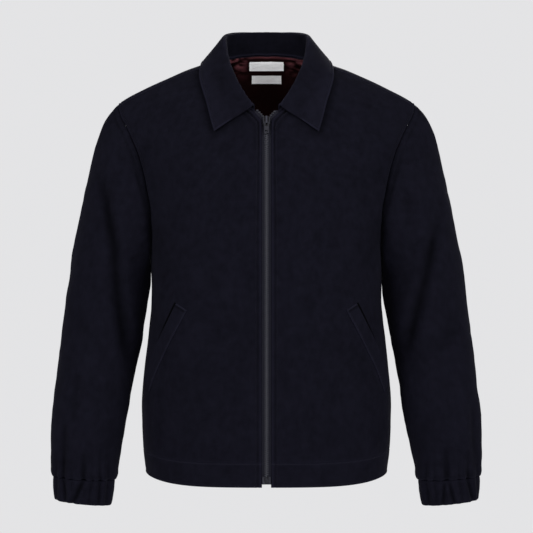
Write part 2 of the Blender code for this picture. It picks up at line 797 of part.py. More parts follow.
# ---------------------------------------------------------------- meshes
def new_object(name, bm, material):
    bmesh.ops.recalc_face_normals(bm, faces=bm.faces)
    mesh = bpy.data.meshes.new(name)
    bm.to_mesh(mesh)
    bm.free()
    mesh.shade_smooth()
    mesh.set_sharp_from_angle(angle=math.radians(50))
    mesh.materials.append(material)
    piece = bpy.data.objects.new(name, mesh)
    bpy.context.scene.collection.objects.link(piece)
    return piece


def cloth_object(sheet, material):
    """A closed wall: a grid laid on the outer points and extruded to the inner ones."""
    columns = sheet.width + (1 if sheet.tube else 0)
    bm = bmesh.new()
    bmesh.ops.create_grid(bm, x_segments=columns - 1, y_segments=sheet.height - 1, size=0.5)
    place = bm.verts.layers.int.new("place")
    for vert in bm.verts:
        c = round((vert.co.x + 0.5) * (columns - 1)) % sheet.width
        r = round((vert.co.y + 0.5) * (sheet.height - 1))
        vert[place] = r * sheet.width + c
        vert.co = sheet.outer[r][c] * MM
    if sheet.tube:
        bmesh.ops.remove_doubles(bm, verts=bm.verts, dist=1e-6)
    grown = bmesh.ops.extrude_face_region(bm, geom=bm.faces, use_keep_orig=True)
    for item in grown["geom"]:
        if isinstance(item, bmesh.types.BMVert):
            r, c = divmod(item[place], sheet.width)
            item.co = sheet.inner[r][c] * MM
    bmesh.ops.triangulate(bm, faces=bm.faces, quad_method="SHORT_EDGE")
    return new_object(sheet.name, bm, material)


def slider_frame():
    """The slider's own frame: origin on the cloth's face, across, down and out."""
    origin = on_front(0, SLIDER_Z, 0)
    below = on_front(0, SLIDER_Z - 8, 0)
    above = on_front(0, SLIDER_Z + 8, 0)
    down = (below - above).normalized()
    across = Vector((1, 0, 0))
    out = across.cross(-down).normalized()
    if out.y > 0:
        out.negate()
    return origin, across, down, out


def frame_box(bm, frame, across, down, out):
    """A box given by its reach along each axis of a frame."""
    origin, axis_a, axis_d, axis_o = frame
    cube = bmesh.ops.create_cube(bm, size=1.0)
    for vert in cube["verts"]:
        share = [value + 0.5 for value in vert.co]
        reach = [lerp(*span, t) for span, t in zip((across, down, out), share)]
        vert.co = (origin + axis_a * reach[0] + axis_d * reach[1] + axis_o * reach[2]) * MM
    bmesh.ops.recalc_face_normals(bm, faces=bm.faces)


def helper_box(name, frame, across, down, out):
    bm = bmesh.new()
    frame_box(bm, frame, across, down, out)
    mesh = bpy.data.meshes.new(name)
    bm.to_mesh(mesh)
    bm.free()
    helper = bpy.data.objects.new(name, mesh)
    bpy.context.scene.collection.objects.link(helper)
    helper.hide_render = True
    helper.display_type = "WIRE"
    return helper


def combined(base, operation, helpers):
    for helper in helpers:
        step = base.modifiers.new(helper.name, "BOOLEAN")
        step.operation = operation
        step.object = helper
        step.solver = "EXACT"
    return base


def slider_object(material):
    frame = slider_frame()
    half = PLATE_LENGTH / 2
    bm = bmesh.new()
    frame_box(bm, frame, (-PLATE_HALF, PLATE_HALF), (-half, half), (0.3, 1.5))
    corners = [e for e in bm.edges if abs((e.verts[0].co - e.verts[1].co).normalized()
                                          .dot(frame[3])) > 0.9]
    bmesh.ops.bevel(bm, geom=corners, offset=1.6 * MM, affect="EDGES", segments=2, profile=0.5,
                    material=-1)
    base = new_object("zip_slider", bm, material)
    parts = [
        ("slider_post", (-1.3, 1.3), (0.4 - half, -5.0), (-4.7, 0.9)),
        ("slider_back", (-4.6, 4.6), (0.2 - half, half - 0.2), (-5.3, -4.2)),
        ("slider_flange_a", (0.15 - PLATE_HALF, -4.4), (-1.0, half - 2), (-1.9, 0.9)),
        ("slider_flange_b", (4.4, PLATE_HALF - 0.15), (-1.0, half - 2), (-1.9, 0.9)),
        ("slider_rim_a", (0.1 - PLATE_HALF, -3.9), (-6.2, 4.8), (1.2, 2.5)),
        ("slider_rim_b", (3.9, PLATE_HALF - 0.1), (-6.2, 4.8), (1.2, 2.5)),
        ("slider_bail_upper", (-1.1, 1.1), (-7.3, -6.1), (1.0, 4.2)),
        ("slider_bail_lower", (-1.1, 1.1), (3.1, 4.3), (1.0, 4.2)),
        ("slider_bail_top", (-1.2, 1.2), (-7.4, 4.4), (3.7, 4.7)),
    ]
    return combined(base, "UNION", [helper_box(name, frame, *spans) for name, *spans in parts])


def pull_object(material):
    """The pull tab, with its origin on the bar that it turns on."""
    origin, across, down, out = slider_frame()
    pivot = origin + down * PIVOT_DOWN + out * PIVOT_OUT
    frame = (pivot, across, down, out)
    thick = (-PULL_BAR / 2, PULL_BAR / 2)
    length = PULL_END - PIVOT_DOWN
    bm = bmesh.new()
    frame_box(bm, frame, (-PULL_HALF, PULL_HALF), (-PULL_BAR / 2, length), thick)
    corners = [e for e in bm.edges if abs((e.verts[0].co - e.verts[1].co).normalized()
                                          .dot(out)) > 0.9]
    bmesh.ops.bevel(bm, geom=corners, offset=0.9 * MM, affect="EDGES", segments=3, profile=0.5,
                    material=-1)
    base = new_object("zip_pull", bm, material)
    base.data.transform(Matrix.Translation(-pivot * MM))
    base.location = pivot * MM
    wide = (-2, 2)
    cutters = [
        helper_box("pull_slot", frame, (-PULL_SLOT_HALF, PULL_SLOT_HALF),
                   (PULL_BAR / 2, 5.6), wide),
        helper_box("pull_window", frame, (-2.2, 2.2), (13.6, 17.0), wide),
    ]
    return combined(base, "DIFFERENCE", cutters)


def zip_box_object(material):
    """The box that holds the two chains' ends at the hem."""
    origin = on_front(0, ZIP_BOX_Z, 0)
    frame = (origin, Vector((1, 0, 0)), Vector((0, 0, -1)), Vector((0, -1, 0)))
    bm = bmesh.new()
    frame_box(bm, frame, (-6.1, 6.1), (-4.8, 6.2), (-2.3, 0.7))
    bmesh.ops.bevel(bm, geom=bm.edges[:], offset=0.5 * MM, affect="EDGES", segments=1,
                    profile=0.5, material=-1)
    return new_object("zip_box", bm, material)


# ---------------------------------------------------------------- materials and the part
def plain_material(name, colour, roughness, metallic=0.0):
    material = bpy.data.materials.new(name)
    material.use_nodes = True
    shader = material.node_tree.nodes["Principled BSDF"]
    shader.inputs["Base Color"].default_value = (*colour, 1)
    shader.inputs["Roughness"].default_value = roughness
    shader.inputs["Metallic"].default_value = metallic
    return material


def main():
    for old in list(bpy.data.objects):
        bpy.data.objects.remove(old)

    navy = plain_material("navy_cotton", (0.012, 0.013, 0.022), 0.85)
    brown = plain_material("brown_satin", (0.045, 0.018, 0.020), 0.45)
    white = plain_material("white_woven", (0.75, 0.75, 0.77), 0.7)
    tape = plain_material("zip_tape", (0.03, 0.03, 0.04), 0.8)
    metal = plain_material("zip_metal", (0.35, 0.36, 0.40), 0.35, 1.0)

    front_left, front_right, back = body_sheets()
    cloth = [front_left, front_right, back, collar_sheet(front_left, back),
             band_sheet(front_left, back, front_right), *sleeve_sheets()]
    gathered = cuff_sheets()
    laid_on = [welt_sheet("left"), welt_sheet("right")]
    zips = zip_sheets()
    finish_sheets(cloth + gathered + laid_on + zips)

    for sheet in cloth + gathered + laid_on:
        cloth_object(sheet, navy)
    for sheet in zips:
        cloth_object(sheet, metal if "teeth" in sheet.name else tape)

    columns = range(LINING_MARGIN, back.width - LINING_MARGIN)
    lining = inside_patch("back_lining", back, [0.01, *range(1, LINING_ROWS + 1)], columns,
                          LINING_LIFT, LINING_WALL)
    cloth_object(lining, brown)
    for name, (rows, label_columns) in LABELS.items():
        cloth_object(inside_patch(name, lining, rows, label_columns, LABEL_LIFT, LABEL_WALL),
                     white)

    slider_object(metal)
    pull_object(metal)
    zip_box_object(metal)


main()
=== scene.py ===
"""The looks of a zip-front blouson jacket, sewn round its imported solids.

Lengths are worked out in millimetres, in the solids' own frame: the front faces -Y, +X is the
wearer's left and +Z is up.  A mesh is turned into metres where it is made.
"""
import math
from bisect import bisect_right

import bmesh
import bpy
import numpy as np
from mathutils import Matrix, Vector, noise


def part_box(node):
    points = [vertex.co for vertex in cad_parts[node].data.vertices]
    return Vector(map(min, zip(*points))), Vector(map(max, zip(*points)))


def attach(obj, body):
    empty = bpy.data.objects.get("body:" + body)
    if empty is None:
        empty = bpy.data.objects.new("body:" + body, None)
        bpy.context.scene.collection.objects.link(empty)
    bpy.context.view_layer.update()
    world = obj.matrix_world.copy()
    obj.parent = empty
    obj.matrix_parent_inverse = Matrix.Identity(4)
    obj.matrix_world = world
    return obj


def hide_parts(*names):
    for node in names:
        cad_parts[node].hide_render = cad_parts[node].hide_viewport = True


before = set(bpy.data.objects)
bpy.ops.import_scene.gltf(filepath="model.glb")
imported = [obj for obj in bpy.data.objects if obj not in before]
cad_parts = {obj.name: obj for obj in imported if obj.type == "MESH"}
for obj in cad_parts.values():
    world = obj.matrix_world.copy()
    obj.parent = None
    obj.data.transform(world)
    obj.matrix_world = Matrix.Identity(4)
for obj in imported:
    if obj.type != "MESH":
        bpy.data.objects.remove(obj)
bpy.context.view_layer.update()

bl_info = {
    "name": "Zip-front jacket",
    "version": (1, 0, 0),
    "blender": (4, 5, 0),
    "location": "3D View > Sidebar > Jacket",
    "description": "Sews a lined zip-front jacket round its packed solids",
    "category": "Object",
}

MM = 0.001
BODY = "garment"

# ---------------------------------------------------------------- sizes close to the solids'
WALL = 2.0
RIDGE_Y = 8.0
SQUARENESS = 2.6
NECK_POINT = (76.0, -2.65)
SHOULDER_TIP = (233.0, -2.0)
UNDERARM_Z = -290.0
FRONT_EDGE_X = 6.8
EDGE_TOP_Z = -93.0
EDGE_STRAIGHT_Z = -112.0
BAND_SEAM_FRONT_Z = -611.0
BAND_SEAM_SIDE_Z = -599.5
BAND_DEPTH = 36.6
HEM_SAG = 5.0
BACK_SAG = 10.0
NECK_FADE = 0.7
SLEEVE_CROWDING = 1.12

FINE = 5                    # rows and columns here for each one of the solids
FRONT_COLUMNS = 9 * FINE
NECK_COLUMNS = 4 * FINE
NECK_ROWS = 6 * FINE
ARM_ROWS = 10 * FINE
SIDE_ROWS = 9 * FINE
ROWS = ARM_ROWS + SIDE_ROWS
SLEEVE_RINGS = 17 * FINE
SLEEVE_COLUMNS = 2 * ARM_ROWS
EVEN_TURNS = [i / FRONT_COLUMNS for i in range(FRONT_COLUMNS + 1)]
SIGN = {"front": -1, "back": 1}             # of y, and of the slopes on that side


class Curve:
    """A smooth curve through the rows of a short table, read by its first column."""

    def __init__(self, columns, *rows):
        self.columns = columns.split()
        self.keys = [row[0] for row in rows]
        self.series = list(zip(*rows))

    def tangent(self, values, i):
        keys, last = self.keys, len(self.keys) - 1
        before = (values[i] - values[i - 1]) / (keys[i] - keys[i - 1]) if i else None
        after = (values[i + 1] - values[i]) / (keys[i + 1] - keys[i]) if i < last else None
        if before is None or after is None:
            return after if before is None else before
        if before * after <= 0:
            return 0.0
        wide, narrow = keys[i + 1] - keys[i], keys[i] - keys[i - 1]
        first, second = 2 * wide + narrow, wide + 2 * narrow
        return (first + second) / (first / before + second / after)

    def at(self, key, column=None):
        values = self.series[self.columns.index(column) if column else 1]
        keys = self.keys
        if key <= keys[0] or key >= keys[-1]:
            return values[0 if key <= keys[0] else -1]
        i = bisect_right(keys, key) - 1
        span = keys[i + 1] - keys[i]
        t = (key - keys[i]) / span
        start, end = self.tangent(values, i) * span, self.tangent(values, i + 1) * span
        return (values[i] * (1 + 2 * t) * (1 - t) ** 2 + start * t * (1 - t) ** 2
                + values[i + 1] * t * t * (3 - 2 * t) - end * t * t * (1 - t))


HALF_WIDTH = Curve(
    "z half_width",
    (-646, 188), (-634, 189), (-600, 193), (-560, 195), (-520, 194.7), (-430, 186),
    (-350, 180), (UNDERARM_Z, 182), (-270, 184), (-240, 189), (-200, 200), (-155, 219),
    (-140, 225), (-110, 236), (-80, 242), (-64, 245))
RIDGE = Curve(
    "x z",
    (-42, 43), (0, 51), (42, 43), (60, 30), (75, 16.5), (90, 7), (108, 0.8), (125, -5.2),
    (161, -21.2), (193, -36.6), (222, -51.8), (234, -60.2))
NAPE = Curve("x z", (0, 9.5), (50, 7), (85, 3.5), (108, 0.8))
NAPE_SLOPES = (5.0, 12.0)
DEPTH = Curve(
    "slope front back",
    (0, 0, 0), (3.87, 32, 32), (6.32, 58, 60), (8.94, 84, 84), (10.95, 102, 100),
    (13.42, 124, 115), (16.12, 140, 119), (18.7, 144, 116), (22.4, 140, 108.5),
    (25.5, 136, 108), (27, 135, 108))
FRONT_NECKLINE = Curve(
    "share x slope",
    (0, *NECK_POINT), (0.2, 72, -5.1), (0.52, 60, -8.19), (0.81, 40, -10.38), (1, 19, -11.34))
BACK_NECKLINE = Curve(
    "share x slope",
    (0, 0, 5.4), (0.4, 42, 4.8), (0.62, 60, 3.8), (0.8, 70, 2.3), (0.9, 74, 0),
    (1, *NECK_POINT))
ARMHOLE = Curve(
    "slope front back",
    (0, 233.5, 233.5), (2, SHOULDER_TIP[0], 232.6), (4.6, 229, 228), (7.8, 213, 218.5),
    (10.6, 196, 206.6), (12.8, 184.5, 196.5), (14.4, 178.2, 187.6), (15.5, 178.2, 183),
    (16.05, 182, 182))
SLEEVE = Curve(
    "share outer_x outer_z inner_x inner_z centre_y depth",
    (0.00, 233.5, -62, 182, -290, 8, 112),
    (0.06, 253.2, -84.0, 180, -301, 8, 124),
    (0.13, 266.4, -116, 179, -313, 8, 134),
    (0.20, 275.4, -152, 179, -325, 8, 139),
    (0.30, 287.3, -207, 180.5, -341, 8, 141),
    (0.40, 297.3, -256, 182, -357, 7, 139),
    (0.50, 306.5, -304, 185, -374, 5, 136),
    (0.60, 314.2, -366, 189.5, -397, 1, 128),
    (0.70, 322.0, -429, 198.5, -442.5, -6, 119),
    (0.80, 329, -499, 209.3, -504, -18, 110),
    (0.90, 333.3, -562, 221.4, -574, -32, 100),
    (0.96, 333.2, -606, 228.8, -616, -40, 91),
    (1.00, 330.2, -637.6, 233.0, -643.4, -45, 80))
CUFF = Curve(
    "share outer_x outer_z inner_x inner_z centre_y depth",
    (0, 329.3, -638.0, 234.4, -643.7, -45, 77),
    (1, 327.0, -673.6, 239.8, -682.6, -49, 72))
CAP_END = 0.36
ARMPIT_CLEARANCE = 0.7
COLLAR_FOLD = Curve(
    "share x y z",
    (0, 0, 61, 59.2), (0.2, 40, 56, 58.0), (0.43, 65.5, 16, 47), (0.541, 62.5, -17, 20),
    (0.725, 51.8, -55, -16), (0.89, 36, -84, -48), (1, 21.5, -100.5, -70.5))
COLLAR_EDGE = Curve(
    "share x y z",
    (0, 0, 79, 8), (0.17, 42, 75, 7), (0.3, 80, 48, 3), (0.43, 100.5, 12, 5.5),
    (0.541, 104.3, -30, -16.7), (0.725, 91.4, -73, -66.2), (0.89, 85, -86, -91),
    (1, 79.5, -95, -109.7))
COLLAR_WALL = 2.2
FOLD_RADIUS = 2.0
COLLAR_CLEARANCE = 1.6
STAND_STEPS, FOLD_STEPS, LEAF_STEPS = 8, 8, 14
WELT = Curve(
    "share front_x front_z side_x side_z",
    (0, 120.2, -380.9, 136.4, -370.6), (0.7, 165.5, -469.4, 177.0, -454.0),
    (1, 180.0, -507.0, 188.4, -492.5))
WELT_LIFT = 0.4
WELT_WALL = 1.6
ZIP_EDGE = Curve(
    "z x",
    (-112, 0.15), (-97, 0.15), (-93, 1.2), (-88, 3.5), (-84, 6.5), (-80, 10), (-76, 14))
SLIDER_Z = -95.0
CHAIN_WIDTH = 3.05
TOOTH_REACH = 0.8           # how far a tooth crosses the zip's middle to mesh
TOOTH_HEIGHT = 1.3          # from its middle
CHAIN_FACE = 0.3            # how far the teeth's tops lie below the cloth's face
TAPE_FACE, TEETH_BACK = 2.8, 3.15
TAPE_START = 3.35
TAPE_WIDTH = 10.5
ZIP_TOP_Z, ZIP_END_Z, TAPE_END_Z = -76.0, -630.5, -643.0
PULL_EYE_Z = -101.0

# ---------------------------------------------------------------- sizes of the looks alone
EDGES = ("left", "right", "top", "bottom")
OTHER = {"left": "right", "right": "left"}
COTTON, SATIN = "brushed_navy_cotton", "brown_lining_satin"
FACING_WIDTH = 55.0         # of the cotton inside the fronts, from the zip
LINING_WALL = 0.8
LABEL_DEPTH = 5.6           # of the labels' face, inside the back's outer form
LABEL_HEMS = {"label_upper": (0.0, 1.5), "label_lower": (1.4, 0.4)}     # turned under
TOPSTITCH, EDGE_STITCH, ZIP_STITCH, WELT_STITCH, LABEL_STITCH = 5.0, 1.4, 9.0, 2.6, 1.2
STITCH_LIFT = 0.12
# distances from an edge at which the cloth has a loop of points
PLAIN = (0, 0.8, 2.0, 4.0)
SEWN = (0, 0.6, EDGE_STITCH, 2.6, 3.8, TOPSTITCH, 6.2, 7.6, 10)
ZIPPED = (0, 0.7, 1.7, 3.0, 4.4, 6.0, 7.6, ZIP_STITCH, 10.4, 12.5)
WELTED = (0, 0.6, EDGE_STITCH, WELT_STITCH, 4.0)
HEMMED = (0, 0.6, LABEL_STITCH, 2.0)
NARROW = (0, 0.5)
CAMERA_PLACE, CAMERA_LENS = (0.0, -3.0, -0.3148), 129.07
LAMP_AIM = (0, 0, -0.32)
LAMPS = (                   # name, place, size in metres and power
    ("left_key", (-2.6, -2.5, 0.6), 2.2, 94), ("right_key", (2.6, -2.5, 0.6), 2.2, 107),
    ("top", (0.0, -2.2, 2.6), 2.4, 16), ("fill", (0.0, -3.6, 0.5), 1.0, 22),
    ("rim", (0.5, 3.3, 1.7), 2.4, 130))


# ---------------------------------------------------------------- the worn form
def lerp(a, b, t):
    return a + (b - a) * t


def smooth(t):
    t = min(max(t, 0.0), 1.0)
    return t * t * (3 - 2 * t)


def roundness(share):
    """How much of its full depth the torso keeps at this share of its half width."""
    if share >= 1 - 1e-9:
        return 0.0
    return (1 - share ** SQUARENESS) ** (1 / SQUARENESS)


def level(x, slope):
    """Height of the place at x whose slope, the root of its drop below the ridge, is this."""
    return RIDGE.at(abs(x)) - slope * slope


def slope_at(x, z):
    return math.sqrt(max(RIDGE.at(abs(x)) - z, 0.0))


def depth_at(x, z, side):
    slope = slope_at(x, z)
    if side == "back" and abs(x) < NAPE.keys[-1]:
        even = math.sqrt(max(NAPE.at(abs(x)) - z, 0.0))
        start, end = NAPE_SLOPES
        slope = lerp(slope, even, smooth((slope - start) / (end - start)))
    return DEPTH.at(slope, side)


def torso(x, slope):
    """The point of the torso's outer form at x and this slope, negative in front."""
    z = level(x, slope)
    depth = depth_at(x, z, "front" if slope < 0 else "back")
    fullness = roundness(abs(x) / HALF_WIDTH.at(z))
    return Vector((x, RIDGE_Y + math.copysign(depth * fullness, slope), z))


def formed(rows):
    """Rows of places, each an x and a slope, as points of the torso."""
    return [[torso(*place) for place in row] for row in rows]


def clearance(point):
    """Rough distance of a point from the torso's outer form, positive outside."""
    drop = RIDGE.at(abs(point.x)) - point.z
    aside = abs(point.y - RIDGE_Y)
    if drop <= 0:
        return math.hypot(aside, drop)
    width = HALF_WIDTH.at(point.z)
    if abs(point.x) > width:
        return math.hypot(aside, abs(point.x) - width)
    return aside - depth_at(point.x, point.z, side_of(point)) * roundness(abs(point.x) / width)


def side_of(point):
    return "front" if point.y < RIDGE_Y else "back"


def outward(point, step=0.05):
    """The direction in which the clearance grows fastest, and how fast."""
    axes = (Vector((step, 0, 0)), Vector((0, step, 0)), Vector((0, 0, step)))
    rise = Vector([clearance(point + axis) - clearance(point - axis) for axis in axes])
    return rise / (2 * step)


def pushed_clear(point, goal, longest=3.0):
    point = point.copy()
    for _ in range(8):
        short = goal - clearance(point)
        if short <= 0:
            break
        rise = outward(point)
        move = rise * (short / max(rise.length_squared, 0.05))
        if move.length > longest:
            move.length = longest
        point += move
    return point


def on_torso(x, z, side, lift):
    """A point of the front or back at x and z, moved out by lift or in where negative."""
    point = torso(x, slope_at(x, z) * SIGN[side])
    return point + outward(point).normalized() * lift


def reaches(points):
    """How far along their line each of these points lies."""
    steps = np.linalg.norm(np.diff(points, axis=0), axis=1)
    return np.concatenate([[0], np.cumsum(steps)])


def even_steps(path, start, end, steps):
    """Values from start to end that part the path into equal lengths."""
    fine = [lerp(start, end, i / 480) for i in range(481)]
    reach = reaches(np.array([path(value) for value in fine]))
    return [float(v) for v in np.interp(np.linspace(0, reach[-1], steps + 1), reach, fine)]


def mirrored(rows):
    """The other half's rows, turned round so that their normals still point outward."""
    return [[Vector((-p.x, p.y, p.z)) for p in reversed(row)] for row in rows]


def whole(half):
    """The half's rows joined to their mirror image, from the wearer's left to the right."""
    return [row[::-1] + other[::-1][1:] for row, other in zip(half, mirrored(half))]


def both_sides(rows):
    """The rows on the wearer's left, then those on the right."""
    return ("left", rows), ("right", mirrored(rows))


# ---------------------------------------------------------------- the cut pieces' outlines
def arm_edge(side):
    """Places down the armhole's seam, from the shoulder's tip to the underarm."""
    end = slope_at(HALF_WIDTH.at(UNDERARM_Z), UNDERARM_Z)
    sign = SIGN[side]

    def place(slope):
        return ARMHOLE.at(abs(slope), side if slope * sign > 0 else "front"), slope

    path = lambda slope: torso(*place(slope))
    if side == "front":
        slopes = even_steps(path, SHOULDER_TIP[1], -end, ARM_ROWS)
    else:
        slopes = [lerp(SHOULDER_TIP[1], 0, i / FINE) for i in range(FINE)]
        slopes += even_steps(path, 0.0, end, ARM_ROWS - FINE)
    places = [place(slope) for slope in slopes]
    places[0] = SHOULDER_TIP
    places[-1] = (HALF_WIDTH.at(UNDERARM_Z), sign * end)
    return places


def side_edge(side):
    """Places down the side, from below the underarm to the hem band."""
    for i in range(1, SIDE_ROWS + 1):
        z = lerp(UNDERARM_Z, BAND_SEAM_SIDE_Z, i / SIDE_ROWS)
        x = HALF_WIDTH.at(z)
        yield x, SIGN[side] * slope_at(x, z)


def share_of_width(x, slope):
    return math.asin(min(abs(x) / HALF_WIDTH.at(level(x, slope)), 1.0))


def neckline(curve, steps):
    place = lambda share: (curve.at(share, "x"), curve.at(share, "slope"))
    return [place(s) for s in even_steps(lambda share: torso(*place(share)), 0, 1, steps)]


def panel_row(left, right, turns, number=0, shift=None):
    """Places along a numbered row between two edges, level below the underarm."""
    blend = smooth(number / ARM_ROWS)
    sag = lerp(1.0, HEM_SAG, max(number - ARM_ROWS, 0) / SIDE_ROWS)
    first, last = share_of_width(*left), share_of_width(*right)
    if left[0] <= 0:
        first = 0.0
    start, end = math.sin(first), math.sin(last)
    row = []
    for turn, (x_shift, slope_shift) in zip(turns, shift or [(0, 0)] * len(turns)):
        s = math.sin(lerp(first, last, turn))
        f = (s - start) / (end - start)
        z = lerp(level(*left), level(*right), f ** sag)
        x = s * HALF_WIDTH.at(z) + x_shift
        along = lerp(left[1], right[1], f) + slope_shift
        flat = math.copysign(slope_at(x, z), right[1])
        row.append((x, lerp(along, flat, blend)))
    row[0], row[-1] = left, right
    return row


def front_places():
    """The front on the wearer's left, from the shoulder seam down."""
    left = neckline(FRONT_NECKLINE, NECK_ROWS)
    top = (FRONT_EDGE_X, -slope_at(FRONT_EDGE_X, EDGE_TOP_Z))
    left += [tuple(lerp(a, b, i / FINE) for a, b in zip(left[-1], top)) for i in range(1, FINE + 1)]
    straight = ROWS - NECK_ROWS - 2 * FINE
    levels = [lerp(EDGE_TOP_Z, EDGE_STRAIGHT_Z, i / FINE) for i in range(1, FINE)]
    levels += [lerp(EDGE_STRAIGHT_Z, BAND_SEAM_FRONT_Z, i / straight) for i in range(straight + 1)]
    left += [(FRONT_EDGE_X, -slope_at(FRONT_EDGE_X, z)) for z in levels]
    ends = zip(left, arm_edge("front") + list(side_edge("front")))
    return [panel_row(*pair, EVEN_TURNS, i) for i, pair in enumerate(ends)]


def back_places():
    """The half of the back from its middle to the wearer's left."""
    shoulder = panel_row(NECK_POINT, SHOULDER_TIP, EVEN_TURNS)
    top = neckline(BACK_NECKLINE, NECK_COLUMNS)[:-1] + shoulder
    right = arm_edge("back") + list(side_edge("back"))
    widest = share_of_width(*SHOULDER_TIP)
    turns = [share_of_width(*place) / widest for place in top]
    turns[0], turns[-1] = 0.0, 1.0
    gaps = [(a[0] - b[0], a[1] - b[1]) for a, b in zip(top, panel_row(top[0], right[0], turns))]
    levels = np.interp(range(ROWS + 1), (0, ARM_ROWS, ROWS),
                       (level(*top[0]), UNDERARM_Z - BACK_SAG, BAND_SEAM_FRONT_Z))
    rows = [top]
    for i in range(1, ROWS + 1):
        fade = 1 - smooth(i / (NECK_FADE * ARM_ROWS))
        shift = [(x * fade, slope * fade) for x, slope in gaps]
        rows.append(panel_row((0.0, slope_at(0, levels[i])), right[i], turns, i, shift))
    return rows


def tube_ring(curve, share, columns):
    """One oval ring of a tube, from its outer edge round behind to the inner edge."""
    read = lambda column: curve.at(share, column)
    outer = Vector((read("outer_x"), read("centre_y"), read("outer_z")))
    inner = Vector((read("inner_x"), read("centre_y"), read("inner_z")))
    middle, arm = (outer + inner) / 2, (outer - inner) / 2
    deep = Vector((0, read("depth") / 2, 0))
    turns = [2 * math.pi * i / columns for i in range(columns)]
    return [middle + arm * math.cos(turn) + deep * math.sin(turn) for turn in turns]


def beside_torso(point):
    """The point kept just clear of the torso's side below the underarm."""
    if point.z > UNDERARM_Z + 4:
        return point
    width = HALF_WIDTH.at(point.z)
    aside = abs(point.y - RIDGE_Y) / depth_at(width, point.z, side_of(point))
    if aside >= 1:
        return point
    least = width * roundness(aside) + ARMPIT_CLEARANCE
    return Vector((max(point.x, least), point.y, point.z))


def sleeve_rows():
    """Rings of the sleeve on the wearer's left, the first of them on the armhole."""
    front, back = formed([arm_edge("front"), arm_edge("back")])
    armhole = back + front[-2:0:-1]
    gaps = [a - b for a, b in zip(armhole, tube_ring(SLEEVE, 0, SLEEVE_COLUMNS))]
    rows = [armhole]
    for r in range(1, SLEEVE_RINGS + 1):
        share = (r / SLEEVE_RINGS) ** SLEEVE_CROWDING
        fade = 1 - smooth(share / CAP_END)
        ring = tube_ring(SLEEVE, share, SLEEVE_COLUMNS)
        rows.append([beside_torso(p + gap * fade) for p, gap in zip(ring, gaps)])
    return rows


def band_rows(top, steps=5):
    """The hem band hangs straight from the lower edges of the panels."""
    rows = []
    for step in range(steps + 1):
        row = []
        for point in top:
            z = point.z - BAND_DEPTH * step / steps
            was, width = HALF_WIDTH.at(point.z), HALF_WIDTH.at(z)
            x = point.x if abs(point.x) <= FRONT_EDGE_X + 0.1 else point.x / was * width
            lower = torso(x, slope_at(x, z) * SIGN[side_of(point)])
            if abs(point.x) >= was - 1e-6:
                lower = Vector((math.copysign(width, point.x), RIDGE_Y, z))
            row.append(lower)
        rows.append(row)
    return rows


def read_point(curve, share):
    x, y, z = [curve.at(abs(share), axis) for axis in "xyz"]
    return Vector((math.copysign(x, share), y, z))


def collar_column(seam, share, step=0.02):
    """One line up the collar's stand, over its fold and down its leaf, on the hidden side."""
    top, edge = read_point(COLLAR_FOLD, share), read_point(COLLAR_EDGE, share)
    along = read_point(COLLAR_FOLD, min(share + step, 1)) - read_point(COLLAR_FOLD, share - step)
    up = (top - seam).normalized()
    out = up.cross(along).normalized()
    middle = top - up * FOLD_RADIUS
    foot = middle - out * FOLD_RADIUS
    column = [seam.lerp(foot, i / STAND_STEPS) for i in range(STAND_STEPS)]
    for i in range(FOLD_STEPS + 1):
        turn = math.pi * i / FOLD_STEPS
        column.append(middle + up * (FOLD_RADIUS * math.sin(turn))
                      - out * (FOLD_RADIUS * math.cos(turn)))
    start = column[-1]
    return column + [pushed_clear(start.lerp(edge, i / LEAF_STEPS), COLLAR_CLEARANCE)
                     for i in range(1, LEAF_STEPS + 1)]


# ---------------------------------------------------------------- cloth
def hump(distance, centre, width):
    return np.exp(-((distance - centre) / width) ** 2)


def humps(distance, *terms):
    """The sum of humps, each a height, the distance of its middle and its width."""
    return sum(height * hump(distance, centre, width) for height, centre, width in terms)


def ramp(value, start, length):
    """0 up to the start, and 1 from its length further on."""
    return np.clip((value - start) / length, 0, 1)


class Relief:
    """What sewing does beside an edge, in humps: how it raises the cloth, where it is worn pale and
    where it gets painted highlights, and where painted shade darkens it.
    """

    def __init__(self, *rise, wear=(), shade=(), puckered=True):
        self.rise, self.puckered = rise, puckered
        self.wear = ((0.6, 0, 2.2), *wear)
        self.shade = ((0.3, 0, 0.8), *shade)


PLAIN_EDGE = Relief((-0.8, 0, 1.1), puckered=False)
# a seam pressed to one side, with topstitching through the turnings under it, and painted shade in the
# topstitch groove
SEWN_EDGE = Relief((0.5, 2.7, 1.5), (-0.9, 0, 0.9), (-0.45, TOPSTITCH, 0.8), (0.2, 7.4, 1.8),
                   shade=[(0.3, TOPSTITCH, 0.9)])
# a folded edge, rounded over and stitched through
TURNED_EDGE = Relief((-0.9, 0, 0.7), (0.25, 2.6, 1.5), (-0.45, TOPSTITCH, 0.8))
# cloth rolled over the tape, and sewn to it along a groove, with a painted highlight on the ridge
# between, and painted shade at the edge and in the groove
ZIPPED_EDGE = Relief((-0.9, 0, 0.7), (0.45, 2.8, 1.4), (-0.65, 6.0, 1.3), (0.4, 9.4, 1.6),
                     wear=[(0.32, 3.0, 1.4)], shade=[(0.45, 0, 1.1), (0.24, 6.4, 1.5)])
WELT_SEAM = Relief((-0.8, 0, 0.8), (-0.3, 3.2, 0.8))
WELT_MOUTH = Relief((0.3, 1.4, 0.9), (-0.9, 0, 0.6))
WELT_END = Relief((-0.8, 0, 0.8), (-0.3, 2.6, 0.7))
LABEL_EDGE = Relief((-0.25, 0, 0.6), (-0.15, LABEL_STITCH, 0.5))


